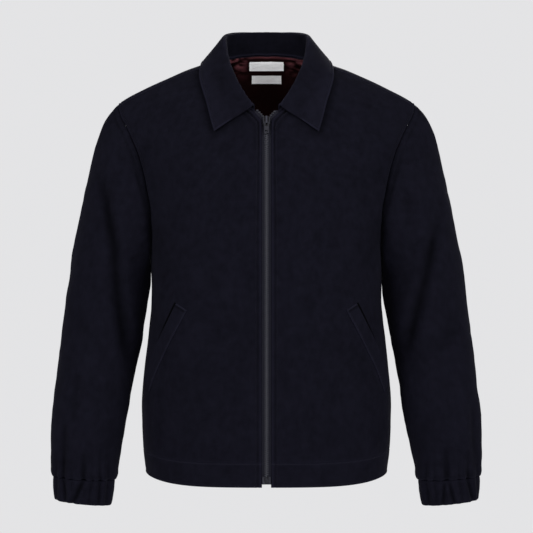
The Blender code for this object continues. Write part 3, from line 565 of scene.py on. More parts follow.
def spaced(grid, first, last, count, axis):
    """The grid taken at set distances from both ends of each line and evenly between them.

    Each point gains its distances from the two ends.
    """
    result = []
    for line in np.moveaxis(grid, axis, 1):
        reach = reaches(line[:, :3])
        total = reach[-1]
        between = np.linspace(first[-1], total - last[-1], count + 2)[1:-1]
        goals = np.concatenate([first, between, total - np.array(last[::-1])])
        channels = [np.interp(goals, reach, channel) for channel in line.T]
        result.append(np.stack([*channels, goals, total - goals], axis=1))
    return np.moveaxis(np.array(result), 1, axis)


def fractal(points, size, seed, octaves=2):
    """Smooth noise from -1 to 1 at each point, with features of this many millimetres."""
    values = []
    for x, y, z in points.reshape(-1, 3):
        total, gain, scale = 0.0, 1.0, 1.0 / size
        for _ in range(octaves):
            total += gain * noise.noise((x * scale + seed, y * scale, z * scale))
            gain, scale = gain * 0.5, scale * 2.1
        values.append(total)
    return np.array(values).reshape(points.shape[:-1])


class Cloth:
    """One cut piece, as a grid of points on the side that is seen."""

    def __init__(self, rows, tube=False, columns=40, lines=90, on_body=True,
                 left=PLAIN, right=PLAIN, top=PLAIN, bottom=PLAIN):
        grid = np.array([[tuple(point) for point in row] for row in rows])
        self.tube = tube
        if tube:
            grid = np.concatenate([grid, grid[:, :1]], axis=1)
            left = right = (0,)
        self.marks = {"left": left, "right": right, "top": top, "bottom": bottom}
        grid = spaced(grid, left, right, columns, 1)
        grid = spaced(grid, top, bottom, lines, 0)
        self.points = grid[..., :3]
        if tube:
            self.points[:, -1] = self.points[:, 0]
        self.left, self.right, self.top, self.bottom = np.moveaxis(grid[..., 3:], 2, 0)
        # paleness from wear and painted highlights, and painted shade, at each point
        self.wear, self.shade = np.zeros((2, *self.left.shape))
        self.ways_out = None
        if on_body:
            flat = [outward(Vector(point)).normalized() for point in self.points.reshape(-1, 3)]
            self.ways_out = np.array(flat).reshape(self.points.shape)

    def normals(self):
        if self.ways_out is not None:
            return self.ways_out
        if self.tube:
            core = self.points[:, :-1]
            across = np.roll(core, -1, axis=1) - np.roll(core, 1, axis=1)
            across = np.concatenate([across, across[:, :1]], axis=1)
        else:
            across = np.gradient(self.points, axis=1)
        found = np.cross(np.gradient(self.points, axis=0), across)
        return found / np.maximum(np.linalg.norm(found, axis=2, keepdims=True), 1e-9)

    def raise_by(self, height):
        self.points = self.points + self.normals() * height[..., None]

    def line(self, side, offset, part=slice(None), above=-math.inf):
        """Points and normals of the loop at this distance from one edge, or of part of it."""
        index = self.marks[side].index(offset)
        if side in ("right", "bottom"):
            index = -1 - index
        pick = (slice(None), index) if side in ("left", "right") else (index, slice(None))
        points, normals = self.points[pick][part], self.normals()[pick][part]
        high = points[:, 2] > above
        return points[high], normals[high]

    def folded(self, folds):
        """Troughs along bent lines seen from the front or from behind, banked on both sides, with
        painted shade along each trough.
        """
        normals, places = self.normals(), self.points[..., (0, 2)]
        height = np.zeros(self.left.shape)
        for side, depth, breadth, *course in folds:
            corners = np.array(course, float)
            reach = reaches(corners)
            nearest = np.full(self.left.shape, 1e9)
            along, inner = np.zeros((2, *self.left.shape))
            for start, end, first, last in zip(corners, corners[1:], reach, reach[1:]):
                line = end - start
                share = np.clip((places - start) @ line / (line @ line), 0, 1)
                gap = places - start - share[..., None] * line
                away = np.linalg.norm(gap, axis=2)
                nearer = away < nearest
                nearest = np.where(nearer, away, nearest)
                along = np.where(nearer, lerp(first, last, share) / reach[-1], along)
                inner = np.where(nearer, -gap[..., 0] * np.sign(start[0]), inner)
            shown = np.clip(SIGN[side] * normals[..., 1] * 2.0 + 0.5, 0, 1)
            strength = shown * depth * np.clip(np.minimum(along, 1 - along) * 5, 0.1, 1)
            bank = np.where(inner > 0, 0.6, 0.2) * hump(nearest, 1.7 * breadth, breadth)
            height += strength * (bank - hump(nearest, 0, breadth))
            self.shade += 0.11 * strength * hump(nearest, 0, 0.75 * breadth)
        self.raise_by(height * bpy.context.scene.jacket.fold_strength)

    def soften(self, size, height, seed):
        """Slow unevenness of worn cloth, none of it at the seams."""
        edges = np.minimum(self.top, self.bottom)
        if not self.tube:
            edges = np.minimum(edges, np.minimum(self.left, self.right))
        self.raise_by(height * np.clip(edges / 25, 0, 1) * fractal(self.points, size, seed))

    def press(self, **edges):
        """Reliefs along named edges, with the small puckers that sewing draws in, and their worn parts,
        painted highlights and painted shade.
        """
        height = np.zeros(self.left.shape)
        for side, relief in edges.items():
            distance = getattr(self, side)
            height += humps(distance, *relief.rise)
            self.wear += humps(distance, *relief.wear)
            self.shade += humps(distance, *relief.shade)
            if relief.puckered:
                height += 0.22 * hump(distance, 3.5, 5.0) * fractal(self.points, 11, 5.0, 1)
        self.raise_by(height)

    def gather(self, side, share, down):
        """Draws a tube in along its gathers, by each point's share of their depth, with painted shade
        in their troughs.
        """
        normals, x = self.normals(), self.points[..., 0]
        height = np.zeros(self.left.shape)
        for face, slip in ((-1, 0.0), (1, 8.0)):
            shown = np.clip(face * normals[..., 1] * 3, 0, 1)
            for seam_x, edge_x, depth, breadth in CUFF_GATHERS[side]:
                away = np.abs(x - lerp(seam_x, edge_x, down) - slip)
                height += shown * depth * humps(away, (0.45, 2 * breadth, breadth), (-1, 0, breadth))
        self.shade += 0.21 * share * np.clip(-height, 0, 3.5)
        turn = np.linspace(0, 2 * np.pi, self.left.shape[1])
        ring = np.stack([np.cos(turn), np.sin(turn), np.zeros(len(turn))], axis=1)
        height += 0.5 * fractal(ring[None], 0.16, 4.0 if side == "left" else 7.0)
        self.raise_by(bpy.context.scene.jacket.gather_depth / MM * share * height)

    def sewn(self, name, *nodes, look=COTTON, slot="navy_cotton", wall=WALL, lining=None,
             facing=None, **sheet):
        """The piece as a closed shell, its inner faces in the lining's finish if it has one.

        A facing of the outer cloth shows inside, beside the named edge.
        """
        lines, columns = self.left.shape
        inside = self.points - self.normals() * wall
        faced = (getattr(self, facing) if facing else np.full(self.left.shape, 1e9)) < FACING_WIDTH
        bm = bmesh.new()
        bmesh.ops.create_grid(bm, x_segments=columns - 1, y_segments=lines - 1, size=0.5)
        place = bm.verts.layers.int.new("place")
        wear, shade = [bm.verts.layers.float.new(kind) for kind in ("wear", "shade")]
        cut = bm.loops.layers.uv.new("cut")
        for vert in bm.verts:
            c = round((vert.co.x + 0.5) * (columns - 1))
            r = round((vert.co.y + 0.5) * (lines - 1))
            vert[place] = r * columns + c
            vert[wear] = float(min(self.wear[r, c], 1))
            vert[shade] = float(min(self.shade[r, c], 1))
            vert.co = Vector(self.points[r, c]) * MM
            for loop in vert.link_loops:
                loop[cut].uv = (self.left[r, c] * MM, self.top[r, c] * MM)
        if self.tube:
            bmesh.ops.remove_doubles(bm, verts=bm.verts, dist=1e-6)
        grown = bmesh.ops.extrude_face_region(bm, geom=bm.faces, use_keep_orig=True)
        hidden = {item for item in grown["geom"] if isinstance(item, bmesh.types.BMVert)}
        for vert in hidden:
            vert.co = Vector(inside[divmod(vert[place], columns)]) * MM
        for face in bm.faces if lining else ():
            if all(vert in hidden for vert in face.verts):
                face.material_index = int(not faced[divmod(face.verts[0][place], columns)])
        bmesh.ops.recalc_face_normals(bm, faces=bm.faces)
        piece = finished(bm, name, look, *([lining] if lining else []))
        return sewn_in(piece, slot, *nodes, **sheet)


def finished(bm, name, *looks, sharp=55):
    mesh = bpy.data.meshes.new(name)
    bm.to_mesh(mesh)
    bm.free()
    mesh.shade_smooth()
    mesh.set_sharp_from_angle(angle=math.radians(sharp))
    for look in looks:
        mesh.materials.append(finish(look))
    piece = bpy.data.objects.new(name, mesh)
    bpy.context.scene.collection.objects.link(piece)
    return piece


def sewn_in(piece, slot, *nodes, flat=None, area=None, held="stretched", rests_on=()):
    """Ties a piece to the jacket's body and hides the solids that it stands in for."""
    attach(piece, BODY)
    if nodes:
        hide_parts(*nodes)
    if flat:
        list(rests_on)
    return piece


def scattered(shape, places):
    """Copies of a small shape at each place, in one bmesh."""
    template = bpy.data.meshes.new("template")
    shape.to_mesh(template)
    shape.free()
    bm = bmesh.new()
    for place in places:
        first = len(bm.verts)
        bm.from_mesh(template)
        bm.verts.ensure_lookup_table()
        bmesh.ops.transform(bm, matrix=place, verts=bm.verts[first:])
    bpy.data.meshes.remove(template)
    return bm


def placing(centre, along, up, size):
    """The matrix that lays a unit shape along one direction with its top to another."""
    along, up = Vector(along).normalized(), Vector(up)
    up = (up - along * up.dot(along)).normalized()
    across = up.cross(along)
    turned = Matrix((along * size[0], across * size[1], up * size[2])).transposed().to_4x4()
    return Matrix.Translation(Vector(centre) * MM) @ (turned * MM).to_3x3().to_4x4()


def stitch_places(points, normals):
    """Places of the stitches along a run."""
    settings = bpy.context.scene.jacket
    pitch, size = settings.stitch_pitch / MM, settings.thread_width / MM
    size = (settings.stitch_length / MM / 2, size / 2, size * 0.4)
    reach = reaches(points)
    read = lambda data, at: np.array([np.interp(at, reach, channel) for channel in data.T])
    for i in range(int(reach[-1] / pitch)):
        at = (i + 0.5) * pitch
        along = read(points, at + 0.5) - read(points, at - 0.5)
        normal = read(normals, at)
        yield placing(read(points, at) + normal * STITCH_LIFT, along, normal, size)


def stitched(name, runs, look="sewing_thread", slot="navy_cotton"):
    """One piece with the stitches of all its runs, each of points and normals."""
    bead = bmesh.new()
    bmesh.ops.create_icosphere(bead, subdivisions=1, radius=1.0)
    bm = scattered(bead, [place for run in runs for place in stitch_places(*run)])
    return sewn_in(finished(bm, name, look, sharp=80), slot)


# ---------------------------------------------------------------- finishes
class Socket:
    """A node's output that takes Python's arithmetic."""

    def __init__(self, recipe, link):
        self.recipe, self.link = recipe, link

    def maths(self, operation, *values):
        return self.recipe.add("ShaderNodeMath", {"operation": operation}, dict(enumerate(values)))

    def __add__(self, other):
        return self.maths("ADD", self, other)

    def __sub__(self, other):
        return self.maths("SUBTRACT", self, other)

    def __rsub__(self, other):
        return self.maths("SUBTRACT", other, self)

    def __mul__(self, other):
        return self.maths("MULTIPLY", self, other)

    def __truediv__(self, other):
        return self.maths("DIVIDE", self, other)

    def __pow__(self, other):
        return self.maths("POWER", self, other)

    def sine(self):
        return self.maths("SINE", self)

    def clipped(self):
        """The value kept from 0 to 1."""
        settings = {"operation": "ADD", "use_clamp": True}
        return self.recipe.add("ShaderNodeMath", settings, {0: self, 1: 0.0})


class Recipe:
    """A material built up from nodes round one colour."""

    def __init__(self, name, colour):
        self.colour = colour
        material = bpy.data.materials.new(name)
        material.use_nodes = True
        self.tree = material.node_tree
        self.shader = self.tree.nodes["Principled BSDF"]

    def fill(self, node, sockets):
        for key, value in sockets.items():
            if isinstance(value, Socket):
                self.tree.links.new(value.link, node.inputs[key])
            else:
                node.inputs[key].default_value = value

    def add(self, kind, settings, sockets, output=0):
        node = self.tree.nodes.new(kind)
        for key, value in settings.items():
            setattr(node, key, value)
        self.fill(node, sockets)
        return Socket(self, node.outputs[output])

    def attribute(self, kind):
        return self.add("ShaderNodeAttribute", {"attribute_name": kind}, {}, "Fac")

    def cut(self, axis):
        """Distance across the cut piece or, as axis 1, down it, in metres."""
        place = self.add("ShaderNodeUVMap", {"uv_map": "cut"}, {})
        return self.add("ShaderNodeSeparateXYZ", {}, {0: place}, axis)

    def place(self):
        return self.add("ShaderNodeTexCoord", {}, {}, "Object")

    def noise(self, scale, detail=2.0, roughness=0.5):
        return self.add("ShaderNodeTexNoise", {},
                        {"Vector": self.place(), "Scale": scale, "Detail": detail,
                         "Roughness": roughness}, "Fac")

    def waves(self, distance, pitch):
        return (distance * (2 * math.pi / pitch)).sine() * 0.5 + 0.5

    def blend(self, share, first, second):
        """A mix of two colours, where a number is that many times the recipe's own."""
        ends = [(*[min(channel * end, 1) for channel in self.colour], 1)
                if isinstance(end, float) else end for end in (first, second)]
        return self.add("ShaderNodeMix", {"data_type": "RGBA"}, {0: share, 6: ends[0], 7: ends[1]}, 2)

    def done(self, body, roughness, *bump, **constants):
        """Feeds the shader its colour, its roughness, its bump if any and its constants."""
        if bump:
            names = ("Height", "Distance", "Strength")
            constants["Normal"] = self.add("ShaderNodeBump", {}, dict(zip(names, bump)))
        constants.update(Base_Color=body, Roughness=roughness)
        self.fill(self.shader, {key.replace("_", " "): value for key, value in constants.items()})


def brushed_cotton(recipe):
    """Twill under a short nap, worn pale in places and given painted highlights in others, and darkened
    by painted shade.
    """
    nap, cloudy = recipe.noise(1300, 3, 0.65), recipe.noise(24, 4, 0.6)
    mottled = recipe.noise(95, 3, 0.6)
    twill = recipe.waves(recipe.cut(0) + recipe.cut(1), 0.0011)
    mix = cloudy * 0.36 + mottled * 0.52 + nap * 0.24 + twill * 0.1 - 0.11
    body = recipe.blend(mix.clipped(), 0.2, 1.85)
    # painted shade, then worn paleness and painted highlights
    body = recipe.blend(recipe.attribute("shade"), body, 0.06)
    body = recipe.blend((recipe.attribute("wear") * nap * 0.7).clipped(), body, 3.5)
    recipe.done(body, nap * 0.14 + 0.80, nap * 0.7 + twill * 0.3, 0.00022, 0.8,
                Sheen_Weight=0.013, Sheen_Roughness=0.5, Sheen_Tint=(0.62, 0.62, 0.85, 1),
                Specular_IOR_Level=0.02)


def satin(recipe):
    """Fine ribs, with a painted red highlight on the crests of its creases and painted shade in its
    hollows.
    """
    rib, cloudy = recipe.waves(recipe.cut(1), 0.0009), recipe.noise(40, 3, 0.5)
    # colour of the painted highlight on the creases' crests
    crests = (*[17 * channel + 0.007 for channel in recipe.colour], 1)
    body = recipe.blend(recipe.attribute("wear").clipped(), recipe.blend(cloudy, 0.7, 1.2), crests)
    body = recipe.blend(recipe.attribute("shade").clipped(), body, 0.3)
    recipe.done(body, cloudy * 0.12 + 0.36, rib * 0.4 + cloudy, 0.0003, 0.5,
                Sheen_Weight=0.015, Sheen_Roughness=0.3, Sheen_Tint=(1.0, 0.5, 0.45, 1),
                Specular_IOR_Level=0.10, Specular_Tint=(1.0, 0.40, 0.36, 1))


def woven(recipe, pitch, contrast):
    """Tape and label cloth: small ribs both ways."""
    weft, warp = recipe.waves(recipe.cut(1), pitch), recipe.waves(recipe.cut(0), pitch)
    grain = recipe.noise(900)
    body = recipe.blend((weft * warp * 0.6 + grain * 0.4).clipped(), 1.0 - contrast, 1.0 + contrast)
    recipe.done(body, grain * 0.2 + 0.65, weft * warp, 0.0002, 0.7, Sheen_Weight=0.03,
                Specular_IOR_Level=0.1)


def enamelled_metal(recipe):
    """Grey enamel, with painted shade in the slider's hollows and painted highlights where it stands
    out.
    """
    mottle, scuffs = recipe.noise(450, 3, 0.6), recipe.noise(2600, 1, 0.5)
    foot = on_torso(0, SLIDER_Z, "front", 0)
    out = outward(foot).normalized()
    # height above the slider's plate, which sets the painted shade and highlights
    painted_light_by_height = recipe.add("ShaderNodeVectorMath", {"operation": "DOT_PRODUCT"},
                       {0: recipe.place(), 1: tuple(out)}, "Value")
    painted_light_by_height = ((painted_light_by_height - foot.dot(out) * MM - 0.0011) / 0.0020).clipped()
    body = recipe.blend(mottle * 0.6, recipe.blend(painted_light_by_height ** 1.5, 0.1, 2.7), 0.7)
    recipe.done(body, mottle * 0.2 + 0.34, scuffs, 0.00005, 0.5, Metallic=0.5, Specular_IOR_Level=0.2)


def eye_shaded_tab(recipe):
    """The same enamel on the pull, with painted shade round its eye."""
    mottle = recipe.noise(380, 3, 0.6)
    seen = recipe.add("ShaderNodeVectorMath", {"operation": "MULTIPLY"},
                      {0: recipe.place(), 1: (0.7, 0.0, 1.0)})
    away = recipe.add("ShaderNodeVectorMath", {"operation": "DISTANCE"},
                      {0: seen, 1: (0.0, 0.0, PULL_EYE_Z * MM)}, "Value")
    # painted shade round the pull's eye
    painted_eye_shade = (1.8 - away / 0.0013).clipped() * 0.9
    recipe.done(recipe.blend(painted_eye_shade, recipe.blend(mottle, 0.69, 1.725), 0.092),
                mottle * 0.2 + 0.36, mottle, 0.00005, 0.5, Metallic=0.4, Specular_IOR_Level=0.2)


def box_with_painted_highlights(recipe):
    """Enamel of the zip's box, with painted highlights at its two ends and blotched between them."""
    x = recipe.add("ShaderNodeSeparateXYZ", {}, {0: recipe.place()})
    blotches = recipe.noise(620, 2, 0.6)
    # painted highlights at the box's two ends
    ends = ((x * x) ** 0.5 / 0.0017 - 2.3).clipped()
    body = recipe.blend((blotches * 3.0 - 1.0).clipped(), 0.15, 1.5)
    recipe.done(recipe.blend(ends * 0.8, body, 2.6), blotches * 0.2 + 0.34, blotches, 0.0002, 0.8,
                Metallic=0.3, Specular_IOR_Level=0.15)


def speckled(recipe, grain, tints, roughness, bump, sheen, specular):
    """Teeth, thread and paper: one noise in the colour and shine, and another in the bump."""
    mottle = recipe.noise(*grain)
    raised = (recipe.noise(*bump[0]), *bump[1:]) if bump else ()
    recipe.done(recipe.blend(mottle, *tints), mottle * roughness[0] + roughness[1], *raised,
                Sheen_Weight=sheen, Specular_IOR_Level=specular)


THREAD = ((2200, 1, 0.5), (0.7, 1.3), (0.2, 0.5), ((2200, 1, 0.5), 0.0001, 0.6), 0.03, 0.06)
FINISHES = {                # the panel's colour for each, what makes it, and its own values
    COTTON: ("cloth_colour", brushed_cotton),
    SATIN: ("lining_colour", satin),
    "white_label_weave": ("label_colour", woven, 0.0009, 0.06),
    "grey_zip_tape": ("tape_colour", woven, 0.0012, 0.35),
    "grey_zip_metal": ("zip_colour", enamelled_metal),
    "grey_zip_pull": ("zip_colour", eye_shaded_tab),
    "grey_zip_box": ("zip_colour", box_with_painted_highlights),
    "grey_zip_teeth": ("teeth_colour", speckled, (300, 2, 0.6), (0.6, 1.4), (0.2, 0.36),
                       ((3000, 1, 0.5), 0.00004, 0.5), 0.0, 0.3),
    "sewing_thread": ("thread_colour", speckled, *THREAD),
    "label_thread": ("label_thread_colour", speckled, *THREAD),
    "pale_studio_floor": ("floor_colour", speckled, (6,), (0.985, 1.0), (0.05, 0.92), None,
                          0.0, 0.1),
}


def finish(name):
    """The named material, made from the panel's colours when it is first asked for."""
    if name not in bpy.data.materials:
        colour, make, *values = FINISHES[name]
        make(Recipe(name, tuple(getattr(bpy.context.scene.jacket, colour))), *values)
    return bpy.data.materials[name]


# ---------------------------------------------------------------- settings
def length(default, text):
    return bpy.props.FloatProperty(name=text.split(":")[0], description=text, default=default,
                                   min=0.0, subtype="DISTANCE", unit="LENGTH", precision=5)


def colour(default, text):
    return bpy.props.FloatVectorProperty(name=text.split(":")[0], description=text, size=3,
                                         default=default, min=0.0, max=1.0, subtype="COLOR")


class JacketSettings(bpy.types.PropertyGroup):
    """Sizes and colours of the jacket's cloth, sewing and zip."""
    stitch_pitch: length(0.0032, "Stitch pitch: from one topstitch to the next")
    stitch_length: length(0.0026, "Stitch length: of the thread that shows")
    thread_width: length(0.00048, "Thread width: across one stitch")
    tooth_pitch: length(0.0033, "Tooth pitch: along one zip chain")
    gather_depth: length(0.0010, "Gather depth: for each millimetre of the cuffs' gathers")
    fold_strength: bpy.props.FloatProperty(
        name="Fold strength", description="How deep the worn folds are", default=1.0,
        min=0.0, max=2.0, subtype="FACTOR")
    cloth_colour: colour((0.00340, 0.00331, 0.00622), "Cloth: brushed navy cotton")
    lining_colour: colour((0.0038, 0.0009, 0.0012), "Lining: brown satin")
    label_colour: colour((0.92, 0.92, 0.93), "Labels: bare white weave")
    label_thread_colour: colour((0.70, 0.70, 0.72), "Label stitches: pale thread")
    tape_colour: colour((0.0086, 0.0086, 0.0150), "Zip tape: dark grey weave")
    zip_colour: colour((0.014, 0.0142, 0.019), "Slider: grey enamel")
    teeth_colour: colour((0.020, 0.0205, 0.028), "Teeth: blue-grey moulding")
    thread_colour: colour((0.0068, 0.0067, 0.0120), "Thread: topstitching")
    floor_colour: colour((0.46, 0.46, 0.465), "Floor: pale studio paper")


# ---------------------------------------------------------------- folds of the worn cloth
# side seen from, depth, breadth, and x and z of the points along each
SLEEVE_FOLDS = {
    "left": [
        ("front", 6.0, 10, (266, -236), (247, -328), (233, -374), (220, -427), (209, -464)),
        ("front", 2.6, 7, (318, -519), (321, -641)),
        ("front", 2.4, 7, (270, -588), (277, -641)),
        ("front", 1.3, 14, (300, -400), (262, -452)),
        ("front", 1.6, 12, (214, -196), (228, -262)),
        ("back", 3.0, 14, (252, -290), (226, -380)),
        ("back", 3.2, 13, (300, -372), (236, -420)),
        ("back", 2.2, 11, (306, -430), (250, -462)),
        ("back", 1.8, 9, (280, -560), (276, -628)),
        ("back", 2.2, 14, (214, -190), (236, -290))],
    "right": [
        ("front", 6.2, 10, (-262, -160), (-250, -210), (-236, -281), (-226, -370), (-216, -441),
         (-209, -490)),
        ("front", 2.0, 8, (-288, -473), (-300, -565)),
        ("front", 3.0, 7, (-311, -550), (-309, -636)),
        ("front", 1.3, 14, (-296, -380), (-258, -436)),
        ("front", 1.4, 9, (-272, -585), (-277, -641)),
        ("back", 3.0, 14, (-250, -300), (-228, -390)),
        ("back", 3.0, 13, (-302, -385), (-238, -428)),
        ("back", 2.2, 11, (-306, -446), (-252, -478)),
        ("back", 1.8, 9, (-288, -560), (-284, -628)),
        ("back", 2.2, 14, (-216, -196), (-238, -300))],
}
BODY_FOLDS = {
    "left": [
        ("front", 1.2, 5, (178, -515), (176, -604)),
        ("front", 0.9, 5, (166, -545), (163, -604)),
        ("front", 1.4, 16, (176, -236), (150, -330)),
        ("front", 0.8, 22, (60, -560), (120, -590)),
        ("front", 1.0, 18, (184, -340), (150, -470)),
        ("front", 1.0, 16, (205, -120), (168, -190))],
    "right": [
        ("front", 1.2, 5, (-179, -505), (-177, -604)),
        ("front", 0.9, 5, (-167, -540), (-164, -604)),
        ("front", 1.4, 16, (-176, -240), (-154, -350)),
        ("front", 0.8, 22, (-70, -540), (-130, -580)),
        ("front", 1.0, 18, (-186, -360), (-158, -480)),
        ("front", 1.0, 16, (-206, -118), (-170, -196))],
    "back": [
        ("back", 2.4, 20, (196, -206), (150, -330)),
        ("back", 2.4, 20, (-196, -206), (-154, -340)),
        ("back", 1.6, 20, (186, -330), (130, -420)),
        ("back", 1.6, 20, (-186, -340), (-126, -430)),
        ("back", 1.2, 24, (-60, -520), (70, -540)),
        ("back", 0.8, 26, (20, -140), (26, -420))],
}
# which way each part of a sleeve is fuller, z of its middle, its height and by how much
SLEEVE_FULLNESS = {"left": [("inner", -540, 70, 3.4)],
                   "right": [("inner", -350, 55, -2.0), ("outer", -585, 45, 1.8)]}
# x at the sleeve's end and at the cuff's edge, depth and breadth
CUFF_GATHERS = {
    "left": [(244, 249, 1.6, 3.2), (256, 260, 0.9, 2.6), (272, 269, 2.9, 3.0), (277, 287, 2.9, 3.0),
             (294, 301, 1.2, 2.8), (308, 317, 2.8, 3.2), (324, 325, 1.6, 2.8)],
    "right": [(-242, -247, 1.6, 3.2), (-254, -256, 2.4, 3.2), (-266, -272, 1.0, 2.6),
              (-279, -296, 3.4, 4.0), (-298, -297, 0.9, 2.4), (-311, -307, 2.6, 3.2),
              (-322, -323, 1.8, 2.8)],
}


# ---------------------------------------------------------------- one operator for each piece
def back_cloth(rows, **grid):
    """The back's form with its folds, as its outer cloth and its lining share them."""
    cloth = Cloth(whole(formed(rows)), **grid)
    cloth.folded(BODY_FOLDS["back"])
    cloth.soften(80, 1.6, 17.0)
    return cloth


class JACKET_OT_body(bpy.types.Operator):
    """Cut the two fronts and the back"""
    bl_idname = "jacket.body"
    bl_label = "Fronts and back"

    def execute(self, context):
        runs, above = [], UNDERARM_Z - 2
        for side, rows in both_sides(formed(front_places())):
            arm = OTHER[side]
            cloth = Cloth(rows, columns=34, lines=84, top=SEWN, **{side: ZIPPED, arm: SEWN})
            self.collar_shadow(cloth)
            cloth.folded(BODY_FOLDS[side])
            cloth.soften(70, 1.3, 3.0 if side == "left" else 9.0)
            cloth.press(**{side: ZIPPED_EDGE, arm: SEWN_EDGE}, top=SEWN_EDGE, bottom=PLAIN_EDGE)
            # A painted highlight on the ridge below the shoulder seam, and painted shade in the creases
            # beside the zip near the slider.
            cloth.wear += 1.2 * hump(cloth.top, 1.8, 0.9)
            beside_slider = hump(cloth.points[..., 2], -100, 45)
            cloth.shade += beside_slider * humps(getattr(cloth, side), (0.45, 6.4, 1.3),
                                                 (0.3, 12.5, 1.8))
            cloth.sewn("front_cloth_" + side, "front_" + side, lining=SATIN, facing=side,
                       flat=(0.30, 0.64), area=0.140)
            runs += [cloth.line(arm, TOPSTITCH, above=above),
                     cloth.line(side, ZIP_STITCH, slice(10, None)), cloth.line("top", EDGE_STITCH)]
        cloth = back_cloth(back_places(), columns=96, lines=84, left=SEWN, right=SEWN, top=SEWN)
        cloth.press(left=SEWN_EDGE, right=SEWN_EDGE, top=PLAIN_EDGE, bottom=PLAIN_EDGE)
        cloth.sewn("back_cloth", "back", lining=SATIN, flat=(0.56, 0.68), area=0.302)
        runs += [cloth.line(side, TOPSTITCH, above=above) for side in OTHER]
        stitched("body_topstitching", runs)
        return {"FINISHED"}

    def collar_shadow(self, cloth):
        """Painted shadow on the front below the edge of the collar's leaf."""
        edge = np.array([[COLLAR_EDGE.at(i / 60, axis) for axis in "xz"] for i in range(20, 61)])
        inner_end = [COLLAR_FOLD.at(1, axis) for axis in "xz"]
        edge = np.concatenate([edge, np.linspace(edge[-1], inner_end, 20)])
        places = np.abs(cloth.points[..., (0, 2)]) * (1, -1)
        away = np.min(np.linalg.norm(places[..., None, :] - edge, axis=-1), axis=-1)
        cloth.shade += 0.5 * hump(away, 0, 8.0)


class JACKET_OT_hem_band(bpy.types.Operator):
    """Hang the waist band from the panels"""
    bl_idname = "jacket.hem_band"
    bl_label = "Hem band"

    def execute(self, context):
        front, back = formed(front_places()[-1:]), whole(formed(back_places()[-1:]))
        top = front[0] + back[0][1:] + mirrored(front)[0][1:]
        cloth = Cloth(band_rows(top), columns=230, lines=8, left=ZIPPED, right=ZIPPED,
                      top=SEWN, bottom=SEWN)
        cloth.soften(45, 0.8, 31.0)
        cloth.press(left=ZIPPED_EDGE, right=ZIPPED_EDGE, top=PLAIN_EDGE, bottom=TURNED_EDGE)
        cloth.sewn("hem_band_cloth", "hem_band", flat=(1.04, 0.036), area=0.0365)
        stitched("hem_topstitching", [cloth.line("top", EDGE_STITCH)]
                 + [cloth.line(side, ZIP_STITCH) for side in OTHER])
        return {"FINISHED"}


class JACKET_OT_sleeves(bpy.types.Operator):
    """Set in the two sleeves"""
    bl_idname = "jacket.sleeves"
    bl_label = "Sleeves"

    def execute(self, context):
        for side, rows in both_sides(sleeve_rows()):
            cloth = Cloth(rows, tube=True, columns=180, lines=120, on_body=False, top=SEWN, bottom=SEWN)
            cloth.folded(SLEEVE_FOLDS[side])
            cloth.soften(60, 1.5, 41.0 if side == "left" else 53.0)
            cloth.soften(17, 0.5, 43.0)
            for way, centre, breadth, height in SLEEVE_FULLNESS[side]:
                sign = 1 if (way == "outer") == (side == "left") else -1
                facing = np.clip(sign * cloth.normals()[..., 0], 0, 1)
                cloth.raise_by(height * facing * hump(cloth.points[..., 2], centre, breadth))
            self.tucked(cloth)
            cloth.press(bottom=PLAIN_EDGE)
            cloth.raise_by(1.6 * hump(cloth.bottom, 8, 7))
            cloth.gather(side, ramp(-cloth.bottom, -52, 52) ** 1.3, 0.0)
            cloth.sewn("sleeve_cloth_" + side, "sleeve_" + side, lining=SATIN,
                       flat=(0.47, 0.60), area=0.190)
        return {"FINISHED"}

    def tucked(self, cloth):
        """Lets the sleeve's head roll over its seam, and its lower part sink in beside the body, with
        painted shade in the crevice, along the seam and in the head's groove.
        """
        seam, down = cloth.points[:1], cloth.top
        low = ramp(-seam[..., 2], 120, 100)
        uneven = 0.6 + 0.7 * fractal(cloth.points, 26, 2.0)
        head = ramp(seam[..., 2], -230, 60)
        crown = np.clip((-62 - seam[..., 2]) / 40, 0.15, 1)
        height = -0.7 * hump(down, 0, 1.2) - 1.1 * (1 - low) * crown * hump(down, 0, 5.5)
        height += head * crown * uneven * humps(down, (1.9, 7.0, 3.2), (-1.2, 12.5, 2.6), (1.3, 18, 5))
        cloth.raise_by(height)
        cloth.points[..., 0] -= np.sign(seam[..., 0]) * 4.5 * low * ramp(-down, -11, 11)
        front = np.sign(cloth.points[..., 1] - RIDGE_Y)
        edge = ramp(np.abs(seam[..., 1] - RIDGE_Y), 0, 20)
        cloth.points[..., 1] -= front * edge * 5.0 * low * hump(down, 0, 14)
        # painted shade in the crevice beside the body and along the seam, and in the groove beside the
        # sleeve's head
        cloth.shade += 0.8 * low * hump(down, 0, 13) + 0.5 * (1 - low) * hump(down, 0, 1.6)
        cloth.shade += 0.55 * head * uneven * hump(down, 11 + 3 * low, 2.2)


class JACKET_OT_cuffs(bpy.types.Operator):
    """Gather the two cuffs"""
    bl_idname = "jacket.cuffs"
    bl_label = "Cuffs"

    def execute(self, context):
        for side, rows in both_sides([tube_ring(CUFF, share / 8, 240) for share in range(9)]):
            cloth = Cloth(rows, tube=True, columns=320, lines=14, on_body=False)
            down = cloth.top / (cloth.top + cloth.bottom)
            middle = ramp(np.minimum(cloth.top, cloth.bottom), 0, 9)
            cloth.raise_by(0.9 * np.sin(np.pi * down))
            cloth.gather(side, 0.7 + 0.3 * middle, down)
            cloth.raise_by(0.4 * middle * fractal(cloth.points, 9, 3.0))
            cloth.press(top=PLAIN_EDGE, bottom=PLAIN_EDGE)
            # painted shade along the cuff's top seam, under the sleeve's edge
            cloth.shade += 0.6 * hump(cloth.top, 0, 1.6)
            cloth.sewn("cuff_cloth_" + side, "cuff_" + side, flat=(0.33, 0.040), held="gathered")
        return {"FINISHED"}


